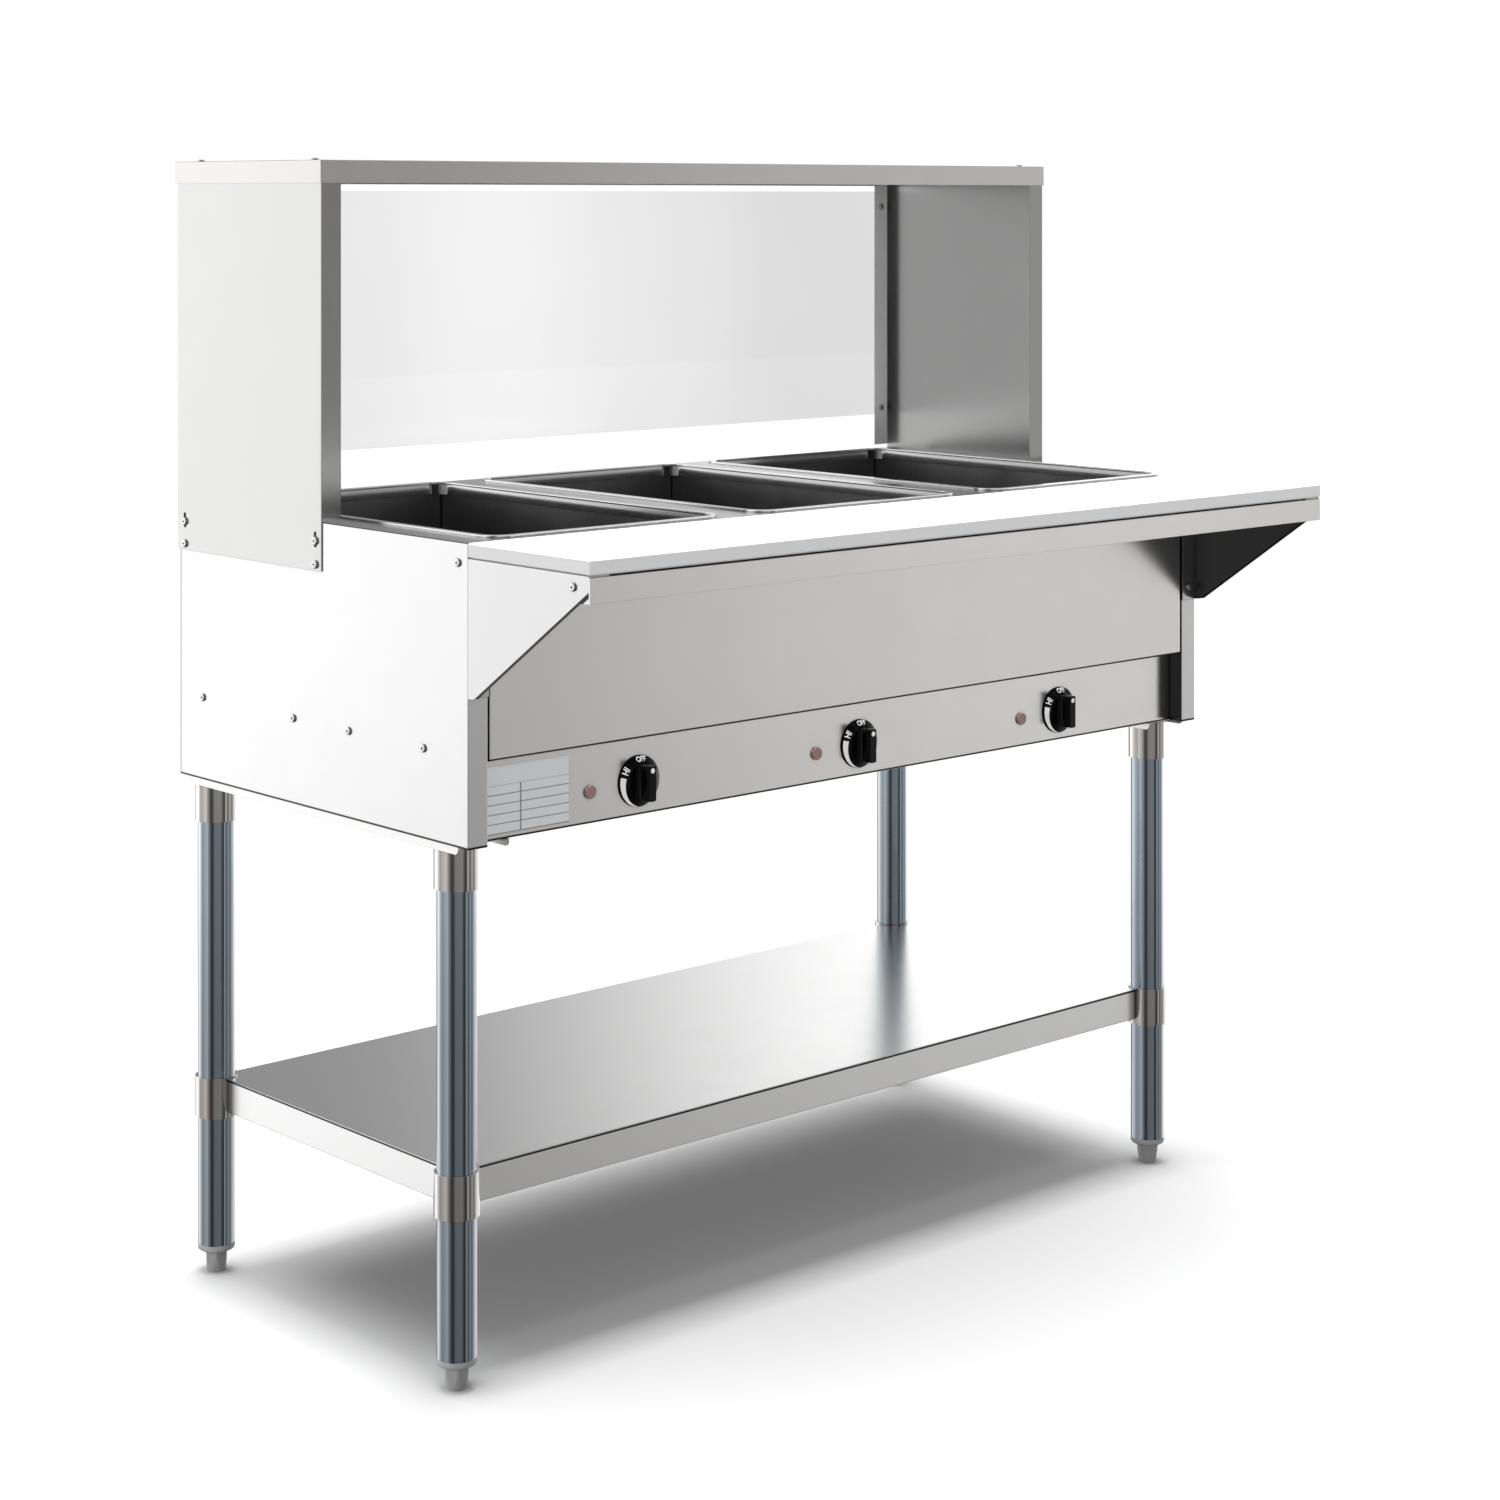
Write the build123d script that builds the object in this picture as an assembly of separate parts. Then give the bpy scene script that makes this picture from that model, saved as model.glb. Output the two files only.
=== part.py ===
"""Electric buffet server: three heated wells, a front cutting board, an overshelf with a rear
guard, and an adjustable undershelf on four tube legs.

Millimetres. X runs to the right, Y from front to back and Z up. While it is modelled, Y = 0 is
the front face of the body's corner stiles and X = 0 is the middle of the body. At export the
whole server is moved so that the origin is on the floor, at the middle of its footprint."""

from build123d import *
import os

# ---- Body ----
body_width = 1124.0
body_depth = 541.0
body_bottom = 557.5
deck_top = 864.0
sheet = 1.2
fold_radius = 1.15
stile_width = 25.0
panel_setback = 20.0
apron_bottom = 642.5
apron_top = 847.5
fit_gap = 0.2
label_left = -532.0
label_right = -417.6
label_bottom = 563.4
label_top = 632.0
label_thickness = 0.3

# ---- Wells ----
well_pitch = 365.0
well_width = 303.0
well_length = 505.0
well_corner = 22.0
well_floor = 655.0
rim_width = 7.0
rim_height = 2.4
flange_drop = 12.0
liner_clearance = 3.0
liner_lip = 10.0
shelf_level = 637.4

# ---- Heating elements and their switches ----
element_radius = 4.25
element_level = 685.0
terminal_spread = 20.0
terminal_y = 75.0
terminal_end = 612.0
knob_x = (-324.0, -1.0, 332.0)
knob_z = 593.5
knob_radius = 27.0
knob_back = 19.0
knob_height = 22.7
knob_skirt = 1.2
knob_slope = 5.3
grip_radius = 19.0
grip_half = 5.0
pilot_offset = -66.0
pilot_z = 590.3
pilot_radius = 7.0
bushing_radius = 5.0
shaft_radius = 3.0

# ---- Cutting board, its brackets and rail ----
board_depth = 193.0
board_thickness = 15.4
board_gap = 1.6
board_chamfer = 1.0
board_lower_chamfer = 1.6
bracket_sheet = 1.5
bracket_bottom = 708.5
rail_bottom = 821.7
pin_inset = 61.0
pin_setback = 43.0

# ---- Overshelf, posts and guard ----
post_front = 256.9
post_back = 547.0
post_bottom = 812.0
post_flange = 25.0
post_gap = 0.3
overshelf_top = 1248.4
overshelf_skirt = 24.7
overshelf_lap = 1.4
pane_thickness = 5.0
pane_bottom = 909.5
pane_top = 1216.0

# ---- Legs, undershelf and feet ----
leg_inset = 26.4
leg_front = 54.3
leg_back = 508.2
leg_radius = 20.65
leg_wall = 1.5
leg_bottom = 32.0
socket_radius = 23.5
socket_bottom = 507.7
sliding_clearance = 0.1
channel_width = 64.5
channel_height = 8.0
undershelf_top = 219.0
undershelf_skirt = 37.0
collar_top = 220.6
collar_bottom = 175.3
foot_height = 24.5
rod_radius = 6.0

# ---- Supply cord, coiled on the back ----
cord_radius = 4.5
cord_x = 430.0
cord_z = 575.0
plug_offset = 150.0
plug_rise = 75.0
rear_reach = 19.0

# ---- Derived places ----
half_width = body_width / 2
half_inside = half_width - sheet
stile_edge = half_width - stile_width
well_y = body_depth / 2
well_x = (-well_pitch, 0.0, well_pitch)
under_deck = deck_top - sheet
board_underside = deck_top - board_thickness
control_back = panel_setback + sheet
post_outer = half_width + post_gap + sheet
leg_x = half_width - leg_inset
leg_places = [(side * leg_x, y) for y in (leg_front, leg_back) for side in (-1, 1)]
cord_y = body_depth + rear_reach / 2
total_depth = board_depth + body_depth + rear_reach
front_y = board_depth - total_depth / 2

well_names = ("left", "centre", "right")
leg_names = ("front_left", "front_right", "rear_left", "rear_right")

side_screw_rows = [(16.1, 843.0), (74.9, 649.4), (208.0, 649.4), (312.1, 649.4), (493.4, 649.4)]
post_screw_places = [(y, z) for y in (post_front + 11.0, post_back - 18.0) for z in (818.5, 843.5)]
bracket_side_screw = (-168.0, 836.3)
bracket_flange_screws = (723.7, 833.0)
overshelf_screw_y = (287.0, 515.0)
pane_screw_z = (918.4, 1195.5)
flange_centre = post_outer - post_flange / 2
channel_bolt_x = half_width - 14.0
channel_bolt_y = (100.0, 440.0)
back_screw_x = half_width - 13.0
back_screw_z = (600.0, 710.0, 820.0)


# ---- Small helpers ----
def slab(x0, x1, y0, y1, z0, z1):
    """A rectangular block between two corners."""
    middle = Pos((x0 + x1) / 2, (y0 + y1) / 2, (z0 + z1) / 2)
    return middle * Box(abs(x1 - x0), abs(y1 - y0), abs(z1 - z0))


def rod(start, direction, radius, length):
    """A round bar that starts at a point and runs along a direction."""
    bar = Cylinder(radius, length, align=(Align.CENTER, Align.CENTER, Align.MIN))
    return Plane(origin=start, z_dir=direction).location * bar


def drill(point, direction, radius, depth=12.0):
    """A round cutter centred on a point."""
    return Plane(origin=point, z_dir=direction).location * Cylinder(radius, depth)


def edges_at(part, axis, **place):
    """The edges along an axis whose middle lies at the stated X, Y or Z."""
    found = part.edges().filter_by(axis)
    for name, value in place.items():
        found = found.filter_by(lambda edge: abs(getattr(edge.center(), name) - value) < 0.01)
    return found


def mirror_x(part):
    return part.mirror(Plane.YZ)


def group(pieces):
    """Separate solids that share one node."""
    return Compound([solid for piece in pieces for solid in piece.solids()])


def bent_rod(points, radius, bend, plane):
    """A round bar bent along a flat path."""
    path = plane * FilletPolyline(*points, radius=bend)
    section = Plane(origin=path @ 0, z_dir=path % 0) * Circle(radius)
    return sweep(section, path=path)


def pan_screw(head_radius=4.2, head_height=2.4, shank_radius=2.0, shank_length=7.0):
    """A cross-recessed pan-head screw, with its head above Z = 0 and its shank below."""
    head = Cylinder(head_radius, head_height, align=(Align.CENTER, Align.CENTER, Align.MIN))
    head = fillet(head.edges().group_by(Axis.Z)[-1], head_height * 0.6)
    for turn in (0, 90):
        head -= Pos(0, 0, head_height) * Rot(0, 0, turn) * Box(head_radius, 1.0, head_height)
    shank = Cylinder(shank_radius, shank_length, align=(Align.CENTER, Align.CENTER, Align.MAX))
    return head + shank


def place_screws(screw, points, outward):
    return [Plane(origin=point, z_dir=outward).location * screw for point in points]


# ---- Body sheets ----
def side_panel():
    """Left side: a wall folded into a front stile, and flanges at the bottom and back."""
    wall = slab(-half_width, -half_inside, 0, body_depth, body_bottom, deck_top)
    stile_top = under_deck
    stile = slab(-half_inside, -stile_edge, 0, sheet, body_bottom, stile_top)
    stile_return = slab(-stile_edge - sheet, -stile_edge, sheet, panel_setback, body_bottom, stile_top)
    flange_edge = -stile_edge + sheet
    bottom = slab(-half_inside, flange_edge, control_back, body_depth, body_bottom, body_bottom + sheet)
    back = slab(-half_inside, flange_edge, body_depth - sheet, body_depth, body_bottom, stile_top)
    panel = wall + stile + stile_return + bottom + back
    folds = edges_at(panel, Axis.Z, X=-half_width, Y=0) + edges_at(panel, Axis.Z, X=-stile_edge, Y=0)
    folds += edges_at(panel, Axis.Y, X=-half_width, Z=body_bottom)
    panel = fillet(folds, fold_radius)
    for y, z in side_screw_rows:
        panel -= drill((-half_width, y, z), (1, 0, 0), 2.05)
    for y, z in post_screw_places:
        panel -= drill((-half_width, y, z), (1, 0, 0), 2.45)
    for z in bracket_flange_screws:
        panel -= drill((-stile_edge - stile_width / 2, 0, z), (0, 1, 0), 2.05)
    for z in back_screw_z:
        panel -= drill((-back_screw_x, body_depth, z), (0, 1, 0), 2.05)
    for y in channel_bolt_y:
        panel -= drill((-channel_bolt_x, y, body_bottom), (0, 0, 1), 3.05)
    return panel


def back_panel():
    """A flat sheet behind the wells, inside the side panels' back flanges."""
    edge = half_inside - 1.0
    face = body_depth - sheet
    panel = slab(-edge, edge, face - sheet, face, body_bottom + 2 * sheet + 0.5, under_deck - 2.0)
    panel -= drill((cord_x, face, cord_z), (0, 1, 0), 8.0)
    for side in (-1, 1):
        for z in back_screw_z:
            panel -= drill((side * back_screw_x, face, z), (0, 1, 0), 2.05)
    return panel


def rounded_ring(x, z0, z1, inner_growth, outer_growth):
    """A flat ring that follows a well opening, between two distances outside it."""
    outline = []
    for growth in (inner_growth, outer_growth):
        width = well_width + 2 * growth
        length = well_length + 2 * growth
        outline.append(RectangleRounded(width, length, well_corner + growth))
    return extrude(Pos(x, well_y, z0) * (outline[1] - outline[0]), amount=z1 - z0)


def well_rim(x):
    """The raised bead round a well, with its down-turned flange."""
    bead = rounded_ring(x, under_deck, deck_top + rim_height, 0, rim_width)
    bead = fillet(bead.edges().group_by(Axis.Z)[-1], 1.1)
    flange = rounded_ring(x, deck_top - flange_drop, under_deck, 0, sheet)
    return bead + flange


def deck():
    """The top sheet, with skirts on all four sides and three raised well rims."""
    edge = half_inside - fit_gap
    skirt_edge = stile_edge - sheet - fit_gap
    top = slab(-edge, edge, 0, body_depth, under_deck, deck_top)
    top += slab(-skirt_edge, skirt_edge, 0, sheet, apron_top + 1.3, under_deck)
    back_skirt_bottom = under_deck - 14.0
    top += slab(-skirt_edge, skirt_edge, body_depth - sheet, body_depth, back_skirt_bottom, under_deck)
    for side in (-1, 1):
        top += slab(side * (edge - sheet), side * edge, 3, body_depth - 3, under_deck - 24.0, under_deck)
        for y, z in (side_screw_rows[0], post_screw_places[1], post_screw_places[3]):
            top -= drill((side * edge, y, z), (1, 0, 0), 2.45)
    for x in well_x:
        opening = RectangleRounded(well_width + 1.0, well_length + 1.0, well_corner + 0.5)
        top -= extrude(Pos(x, well_y, under_deck - 1) * opening, amount=sheet + 2)
        top += well_rim(x)
    return top


def front_apron():
    """The upper front sheet, nearly flush with the stiles, with returns on all edges."""
    edge = stile_edge - 2.0
    face = slab(-edge, edge, 0, sheet, apron_bottom, apron_top)
    bottom = slab(-edge, edge, sheet, panel_setback - fit_gap, apron_bottom, apron_bottom + sheet)
    top = slab(-edge, edge, sheet, 12.0, apron_top - sheet, apron_top)
    apron = face + bottom + top
    for side in (-1, 1):
        apron += slab(side * (edge - sheet), side * edge, sheet, 12.0, apron_bottom, apron_top)
    folds = edges_at(apron, Axis.X, Y=0, Z=apron_bottom)
    for side in (-1, 1):
        folds += edges_at(apron, Axis.Z, X=side * edge, Y=0)
    return fillet(folds, 1.6 * fold_radius)


def control_panel():
    """The set-back lower front sheet that carries the switches and pilot lamps."""
    edge = half_inside - 2.0
    panel = slab(-edge, edge, panel_setback, control_back, body_bottom, apron_bottom + 6.3)
    skirt_edge = stile_edge - sheet - fit_gap
    panel += slab(-skirt_edge, skirt_edge, control_back, 45.0, body_bottom, body_bottom + sheet)
    panel = fillet(edges_at(panel, Axis.X, Y=panel_setback, Z=body_bottom), fold_radius)
    for x in knob_x:
        panel -= drill((x, panel_setback, knob_z), (0, 1, 0), bushing_radius + 0.1)
        panel -= drill((x + pilot_offset, panel_setback, pilot_z), (0, 1, 0), pilot_radius - 0.9)
    return panel


def bottom_cover():
    """The sheet that closes the control space from below."""
    z = body_bottom + sheet
    edge = half_inside - 1.5
    cover = slab(-edge, edge, control_back + 0.3, body_depth - 2 * sheet - 0.3, z, z + 1.0)
    for side in (-1, 1):
        for y in channel_bolt_y:
            cover -= drill((side * channel_bolt_x, y, z), (0, 0, 1), 3.05)
    return cover


def rating_label():
    """A plain label plate on the control panel."""
    front = panel_setback - label_thickness
    return slab(label_left, label_right, front, panel_setback, label_bottom, label_top)


# ---- Wells and heating ----
def well_liner(x):
    """A sharp-cornered pan whose lip hangs under the deck."""
    half_w = well_width / 2 + liner_clearance
    half_l = well_length / 2 + liner_clearance
    outer_w = half_w + sheet
    outer_l = half_l + sheet
    tub = slab(x - outer_w, x + outer_w, well_y - outer_l, well_y + outer_l, well_floor, under_deck)
    lip_w = outer_w + liner_lip
    lip_l = outer_l + liner_lip
    tub += slab(x - lip_w, x + lip_w, well_y - lip_l, well_y + lip_l, under_deck - sheet, under_deck)
    floor = well_floor + sheet
    tub -= slab(x - half_w, x + half_w, well_y - half_l, well_y + half_l, floor, under_deck + 1)
    for offset in (-terminal_spread, terminal_spread):
        tub -= drill((x + offset, terminal_y, well_floor), (0, 0, 1), element_radius + 1.0)
    return tub


def heating_element(x):
    """A bent tube element in the bottom of a well, with its terminals through the floor."""
    near = terminal_y
    far = well_y + well_length / 2 - 60.0
    inner, outer = 38.0, 108.0
    start = terminal_spread
    points = [(-start, near), (-start, near + 45), (-outer, near + 45), (-outer, far), (-inner, far)]
    points += [(-inner, near + 105), (inner, near + 105), (inner, far), (outer, far)]
    points += [(outer, near + 45), (start, near + 45), (start, near)]
    plane = Plane(origin=(x, 0, element_level))
    tube = bent_rod(points, element_radius, 16.0, plane)
    plate_top = well_floor + sheet + 2.0
    plate = slab(x - 34, x + 34, near - 12, near + 12, well_floor + sheet, plate_top)
    for offset in (-start, start):
        tube += Pos(x + offset, near, element_level) * Sphere(element_radius)
        drop = element_level - terminal_end
        tube += rod((x + offset, near, terminal_end), (0, 0, 1), element_radius, drop)
    return tube + plate


def element_supports():
    """Two flat straps under each element, on short legs."""
    top = element_level - element_radius
    floor = well_floor + sheet
    straps = []
    for x in well_x:
        for y in (terminal_y + 130.0, well_y + 130.0):
            strap = slab(x - 122, x + 122, y - 6, y + 6, top - 1.5, top)
            for side in (-1, 1):
                strap += slab(x + side * 120.5, x + side * 122, y - 6, y + 6, floor, top)
                strap += slab(x + side * 120.5, x + side * 136, y - 6, y + 6, floor, floor + 1.5)
            straps.append(strap)
    return group(straps)


def well_support_shelf():
    """The sheet under the wells, with up-turned sides screwed to the side panels."""
    edge = half_inside
    shelf = slab(-edge, edge, 24.0, body_depth - 3.4, shelf_level, shelf_level + sheet)
    for side in (-1, 1):
        shelf += slab(side * (edge - sheet), side * edge, 24.0, body_depth - 3.4, shelf_level, 662.0)
        for y, z in side_screw_rows[1:]:
            shelf -= drill((side * edge, y, z), (1, 0, 0), 2.05)
    for x in well_x:
        shelf -= slab(x - 36, x + 36, terminal_y - 14, terminal_y + 14, shelf_level - 1, shelf_level + 3)
    return shelf


def well_insulation():
    """A slab of insulation between the support shelf and the well floors."""
    top = well_floor
    slab_half = well_pitch + well_width / 2
    batt = slab(-slab_half, slab_half, 30.0, body_depth - 14.0, shelf_level + sheet, top)
    for x in well_x:
        batt -= slab(x - 36, x + 36, terminal_y - 14, terminal_y + 14, shelf_level, top + 1)
    return batt


# ---- Controls ----
def heat_switch(x):
    """A rotary heat switch: a moulded body with a bushing through the panel."""
    body = slab(x - 22, x + 22, control_back, 55.0, knob_z - 22, knob_z + 20)
    body += rod((x, 14.5, knob_z), (0, 1, 0), bushing_radius, 12.0)
    for dx in (-12, 0, 12):
        body += slab(x + dx - 3, x + dx + 3, 55.0, 63.0, knob_z + 8, knob_z + 8.8)
    return body - rod((x, 10.0, knob_z), (0, 1, 0), shaft_radius + 0.05, 32.0)


def switch_nut(x):
    """The thin hexagon nut that holds a switch to the panel."""
    blank = extrude(RegularPolygon(7.5, 6), amount=2.5)
    blank -= Cylinder(bushing_radius + 0.02, 8)
    return Plane(origin=(x, panel_setback, knob_z), z_dir=(0, -1, 0)).location * blank


def d_shaft(x, radius, start, end, flat):
    """A shaft along Y between two depths, with a flat on its upper side for its front part."""
    shaft = rod((x, start, knob_z), (0, 1, 0), radius, end - start)
    flat_z = knob_z + radius * 0.5 + (radius - shaft_radius)
    return shaft - slab(x - 4, x + 4, start - 1, flat, flat_z, knob_z + 8)


def switch_shaft(x):
    return d_shaft(x, shaft_radius, 0.5, 41.5, 15.0)


def grip_profile():
    """Half of the grip's cross-section scooped out on each side, as one closed face."""
    foot, waist, base, top = 13.0, 5.6, 5.0, knob_height
    right_scoop = ThreePointArc((foot, base), (waist + 2.2, base + 2.6), (waist, base + 8.5))
    left_scoop = ThreePointArc((-waist, base + 8.5), (-waist - 2.2, base + 2.6), (-foot, base))
    face_edges = Polyline((waist, base + 8.5), (grip_half, top), (-grip_half, top), (-waist, base + 8.5))
    return make_face(Plane.XZ * (right_scoop + face_edges + left_scoop + Line((-foot, base), (foot, base))))


def knob(x):
    """A round skirt with a sloping face, and a scooped grip bar across a round hub."""
    skirt = Cylinder(knob_radius, knob_skirt, align=(Align.CENTER, Align.CENTER, Align.MIN))
    slope = Cone(knob_radius, grip_radius, knob_slope, align=(Align.CENTER, Align.CENTER, Align.MIN))
    body = fillet(skirt.edges().group_by(Axis.Z)[0], 0.6) + Pos(0, 0, knob_skirt) * slope
    grip = extrude(grip_profile(), amount=grip_radius + 1, both=True)
    grip = grip & Cylinder(grip_radius, 60.0)
    body += fillet(grip.edges().group_by(Axis.Z)[-1], 0.7)
    body -= Cylinder(22.0, 3.2, align=(Align.CENTER, Align.CENTER, Align.MIN))
    body -= Cylinder(9.0, 5.0, align=(Align.CENTER, Align.CENTER, Align.MIN))
    front = Plane(origin=(x, knob_back, knob_z), x_dir=(1, 0, 0), z_dir=(0, -1, 0))
    return front.location * body - d_shaft(x, shaft_radius + 0.05, 0.4, 20.0, 14.1)


def pilot_lens(x):
    """A round lens with a stub through the panel."""
    head = rod((x, 16.8, pilot_z), (0, 1, 0), pilot_radius, panel_setback - 16.8)
    head = fillet(head.edges().group_by(Axis.Y)[0], 1.0)
    return head + rod((x, panel_setback, pilot_z), (0, 1, 0), pilot_radius - 1.0, 3.0)


def pilot_body(x):
    """The lamp holder behind the panel."""
    holder = rod((x, control_back, pilot_z), (0, 1, 0), pilot_radius + 1.0, 26.0)
    for dx in (-3, 3):
        holder += slab(x + dx - 0.4, x + dx + 0.4, 47.0, 53.0, pilot_z - 2.5, pilot_z + 2.5)
    return holder - rod((x, panel_setback, pilot_z), (0, 1, 0), pilot_radius - 0.95, 3.1)


# ---- Wiring and supply ----
def terminal_block():
    """A six-way terminal block on the bottom cover."""
    z = body_bottom + sheet + 1.0
    block = slab(cord_x - 30, cord_x + 30, 150, 175, z, z + 24)
    for step in range(6):
        x = cord_x - 25 + 10 * step
        block -= slab(x - 3.5, x + 3.5, 153, 172, z + 18, z + 25)
    return block


def wiring_harness():
    """A trunk behind the switches, with a lead to each switch, lamp, element and the block."""
    trunk_y, trunk_z, trunk_radius, lead_radius = 110.0, 572.0, 5.0, 1.8
    left_end = knob_x[0] + pilot_offset
    trunk = rod((left_end, trunk_y, trunk_z), (1, 0, 0), trunk_radius, cord_x - left_end)
    for x in knob_x:
        trunk += lead((x, 63.1, knob_z + 8.4), trunk_y, trunk_z, lead_radius)
        trunk += lead((x + pilot_offset, 53.1, pilot_z), trunk_y, trunk_z, lead_radius)
    for x in well_x:
        for offset in (-terminal_spread, terminal_spread):
            top = (x + offset, terminal_y, terminal_end)
            trunk += lead_down(top, trunk_y, trunk_z, lead_radius)
    trunk += rod((cord_x - 5, trunk_y, trunk_z), (0, 1, 0), 3.0, 150 - trunk_y)
    return trunk


def lead(start, trunk_y, trunk_z, radius):
    """A wire that runs straight back and then down into the trunk."""
    x, y, z = start
    wire = rod(start, (0, 1, 0), radius, trunk_y - y)
    wire += Pos(x, trunk_y, z) * Sphere(radius)
    return wire + rod((x, trunk_y, trunk_z), (0, 0, 1), radius, z - trunk_z)


def lead_down(start, trunk_y, trunk_z, radius):
    """A wire that runs down from a terminal and then back into the trunk."""
    x, y, z = start
    wire = rod((x, y, trunk_z), (0, 0, 1), radius, z - trunk_z)
    wire += Pos(x, y, trunk_z) * Sphere(radius)
    return wire + rod((x, y, trunk_z), (0, 1, 0), radius, trunk_y - y)


def power_cord():
    """The supply cord: from the terminal block through the back, then coiled flat on it."""
    inside = rod((cord_x, 175.0, cord_z), (0, 1, 0), cord_radius, cord_y - 175.0)
    inside += Pos(cord_x, cord_y, cord_z) * Sphere(cord_radius)
    pitch = 3.6 * cord_radius
    left, right = cord_x - 330.0, cord_x - 50.0
    low, high = cord_z, cord_z + 165.0
    points = [(cord_x, low), (left, low), (left, high), (right, high), (right, low + pitch)]
    points += [(left + pitch, low + pitch), (left + pitch, high - pitch), (right - pitch, high - pitch)]
    points += [(right - pitch, low + plug_rise), (cord_x - plug_offset, low + plug_rise)]
    back_plane = Plane(origin=(0, cord_y, 0), x_dir=(1, 0, 0), z_dir=(0, -1, 0))
    return inside + bent_rod(points, cord_radius, 28.0, back_plane)


def power_plug():
    """The moulded plug at the cord's end, with two blades and a round earth pin."""
    z = cord_z + plug_rise
    x = cord_x - plug_offset
    half = rear_reach / 2
    body = slab(x - 40, x, cord_y - half + 0.4, cord_y + half, z - 15, z + 15)
    body = fillet(body.edges().filter_by(Axis.X), 4.0)
    for dz in (-6.5, 6.5):
        body += slab(x - 58, x - 40, cord_y - 0.75, cord_y + 0.75, z + dz - 3.2, z + dz + 3.2)
    return body


def cord_grip():
    """The strain-relief housing that turns the cord along the back panel."""
    face = body_depth - sheet
    housing = slab(cord_x - 14, cord_x + 14, face, body_depth + rear_reach - 0.5, cord_z - 13, cord_z + 13)
    housing = fillet(housing.edges().filter_by(Axis.Y), 4.0)
    housing += rod((cord_x, face - 10, cord_z), (0, 1, 0), 7.9, 10.0)
    clearance = cord_radius + 0.1
    housing -= rod((cord_x, face - 11, cord_z), (0, 1, 0), clearance, cord_y - face + 11)
    housing -= Pos(cord_x, cord_y, cord_z) * Sphere(clearance)
    return housing - rod((cord_x - 20, cord_y, cord_z), (1, 0, 0), clearance, 20.0)


# ---- Cutting board ----
def board_bracket():
    """Left bracket: a tapered side plate with a flange on the stile and one under the board."""
    plate_inside = half_width - bracket_sheet
    front = -board_depth + bracket_sheet
    outline = [(front, board_underside), (front, rail_bottom), (front + 13.5, rail_bottom - 0.4)]
    outline += [(-16.0, bracket_bottom + 2.0), (-5.0, bracket_bottom), (0, bracket_bottom)]
    outline += [(0, board_underside)]
    plate = extrude(Plane.YZ.offset(-half_width) * Polygon(*outline, align=None), amount=bracket_sheet)
    flange_top = board_underside - bracket_sheet
    plate += slab(-plate_inside, -stile_edge, -bracket_sheet, 0, bracket_bottom, flange_top)
    ledge_front = front + 0.1
    plate += slab(-plate_inside, -stile_edge, ledge_front, 0, flange_top, board_underside)
    plate = fillet(edges_at(plate, Axis.Y, X=-half_width, Z=board_underside), fold_radius)
    side_y, side_z = bracket_side_screw
    plate -= drill((-half_width, side_y, side_z), (1, 0, 0), 2.05)
    for z in bracket_flange_screws:
        plate -= drill((-stile_edge - stile_width / 2, 0, z), (0, 1, 0), 2.05)
    return plate


def board_rail():
    """The front rail, with a wide top flange, end tabs and two pins that locate the board."""
    top = board_underside - board_gap
    front = -board_depth
    inner = front + bracket_sheet
    edge = stile_edge - 2.0
    back = front + 60.0
    rail = slab(-half_width, half_width, front, inner, rail_bottom, top)
    rail = fillet(edges_at(rail, Axis.X, Y=front, Z=top), fold_radius)
    rail += slab(-edge, edge, inner, back, top - bracket_sheet, top)
    rail += slab(-edge, edge, back - bracket_sheet, back, top - 14.0, top)
    tab_outside = half_width - bracket_sheet
    tab_inside = tab_outside - bracket_sheet
    side_y, side_z = bracket_side_screw
    for side in (-1, 1):
        tab_top = top - bracket_sheet
        rail += slab(side * tab_inside, side * tab_outside, inner, front + 43.0, rail_bottom, tab_top)
        rail -= drill((side * tab_outside, side_y, side_z), (1, 0, 0), 2.05)
        pin_x = side * (half_width - pin_inset)
        rail += rod((pin_x, front + pin_setback, top), (0, 0, 1), 3.9, deck_top - 0.3 - top)
    return rail


def cutting_board():
    """The plastic board, level with the deck, with a hole for each locating pin."""
    board = slab(-half_width, half_width, -board_depth, -0.3, board_underside, deck_top)
    board = chamfer(board.edges().group_by(Axis.Z)[0], board_lower_chamfer)
    board = chamfer(board.edges().group_by(Axis.Z)[-1], board_chamfer)
    for side in (-1, 1):
        place = (side * (half_width - pin_inset), -board_depth + pin_setback, deck_top)
        board -= drill(place, (0, 0, 1), 4.0, 60.0)
    return board


# ---- Overshelf ----
def keyhole(y, z):
    """An upright slot in a post, wider than the screw that hangs in it."""
    face = Plane(origin=(-post_outer - 1, y, z + 1.5), x_dir=(0, 1, 0), z_dir=(1, 0, 0))
    return extrude(face * SlotOverall(17.0, 6.4, rotation=90), amount=4)


def overshelf_post():
    """Left post: a channel of sheet that hangs on the outside of the side panel."""
    flange_foot = deck_top + 4.0
    post_top = overshelf_top - sheet
    inside = post_outer - sheet
    flange_edge = post_outer - post_flange
    post = slab(-post_outer, -inside, post_front, post_back, post_bottom, post_top)
    front_face = post_front + sheet
    back_face = post_back - sheet
    post += slab(-inside, -flange_edge, post_front, front_face, flange_foot, post_top)
    post += slab(-inside, -flange_edge, back_face, post_back, flange_foot, post_top)
    post += slab(-inside, -flange_edge, front_face, back_face, post_top - sheet, post_top)
    post = fillet(edges_at(post, Axis.Z, X=-post_outer), fold_radius)
    for y, z in post_screw_places[1::2]:
        post -= keyhole(y, z)
    for y, z in post_screw_places[0::2]:
        post -= drill((-post_outer, y, z), (1, 0, 0), 2.45, 6.0)
    for y in overshelf_screw_y:
        post -= drill((-flange_centre, y, post_top), (0, 0, 1), 2.05)
    for z in pane_screw_z:
        post -= drill((-flange_centre, post_back, z), (0, 1, 0), 2.05)
    return post


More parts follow.
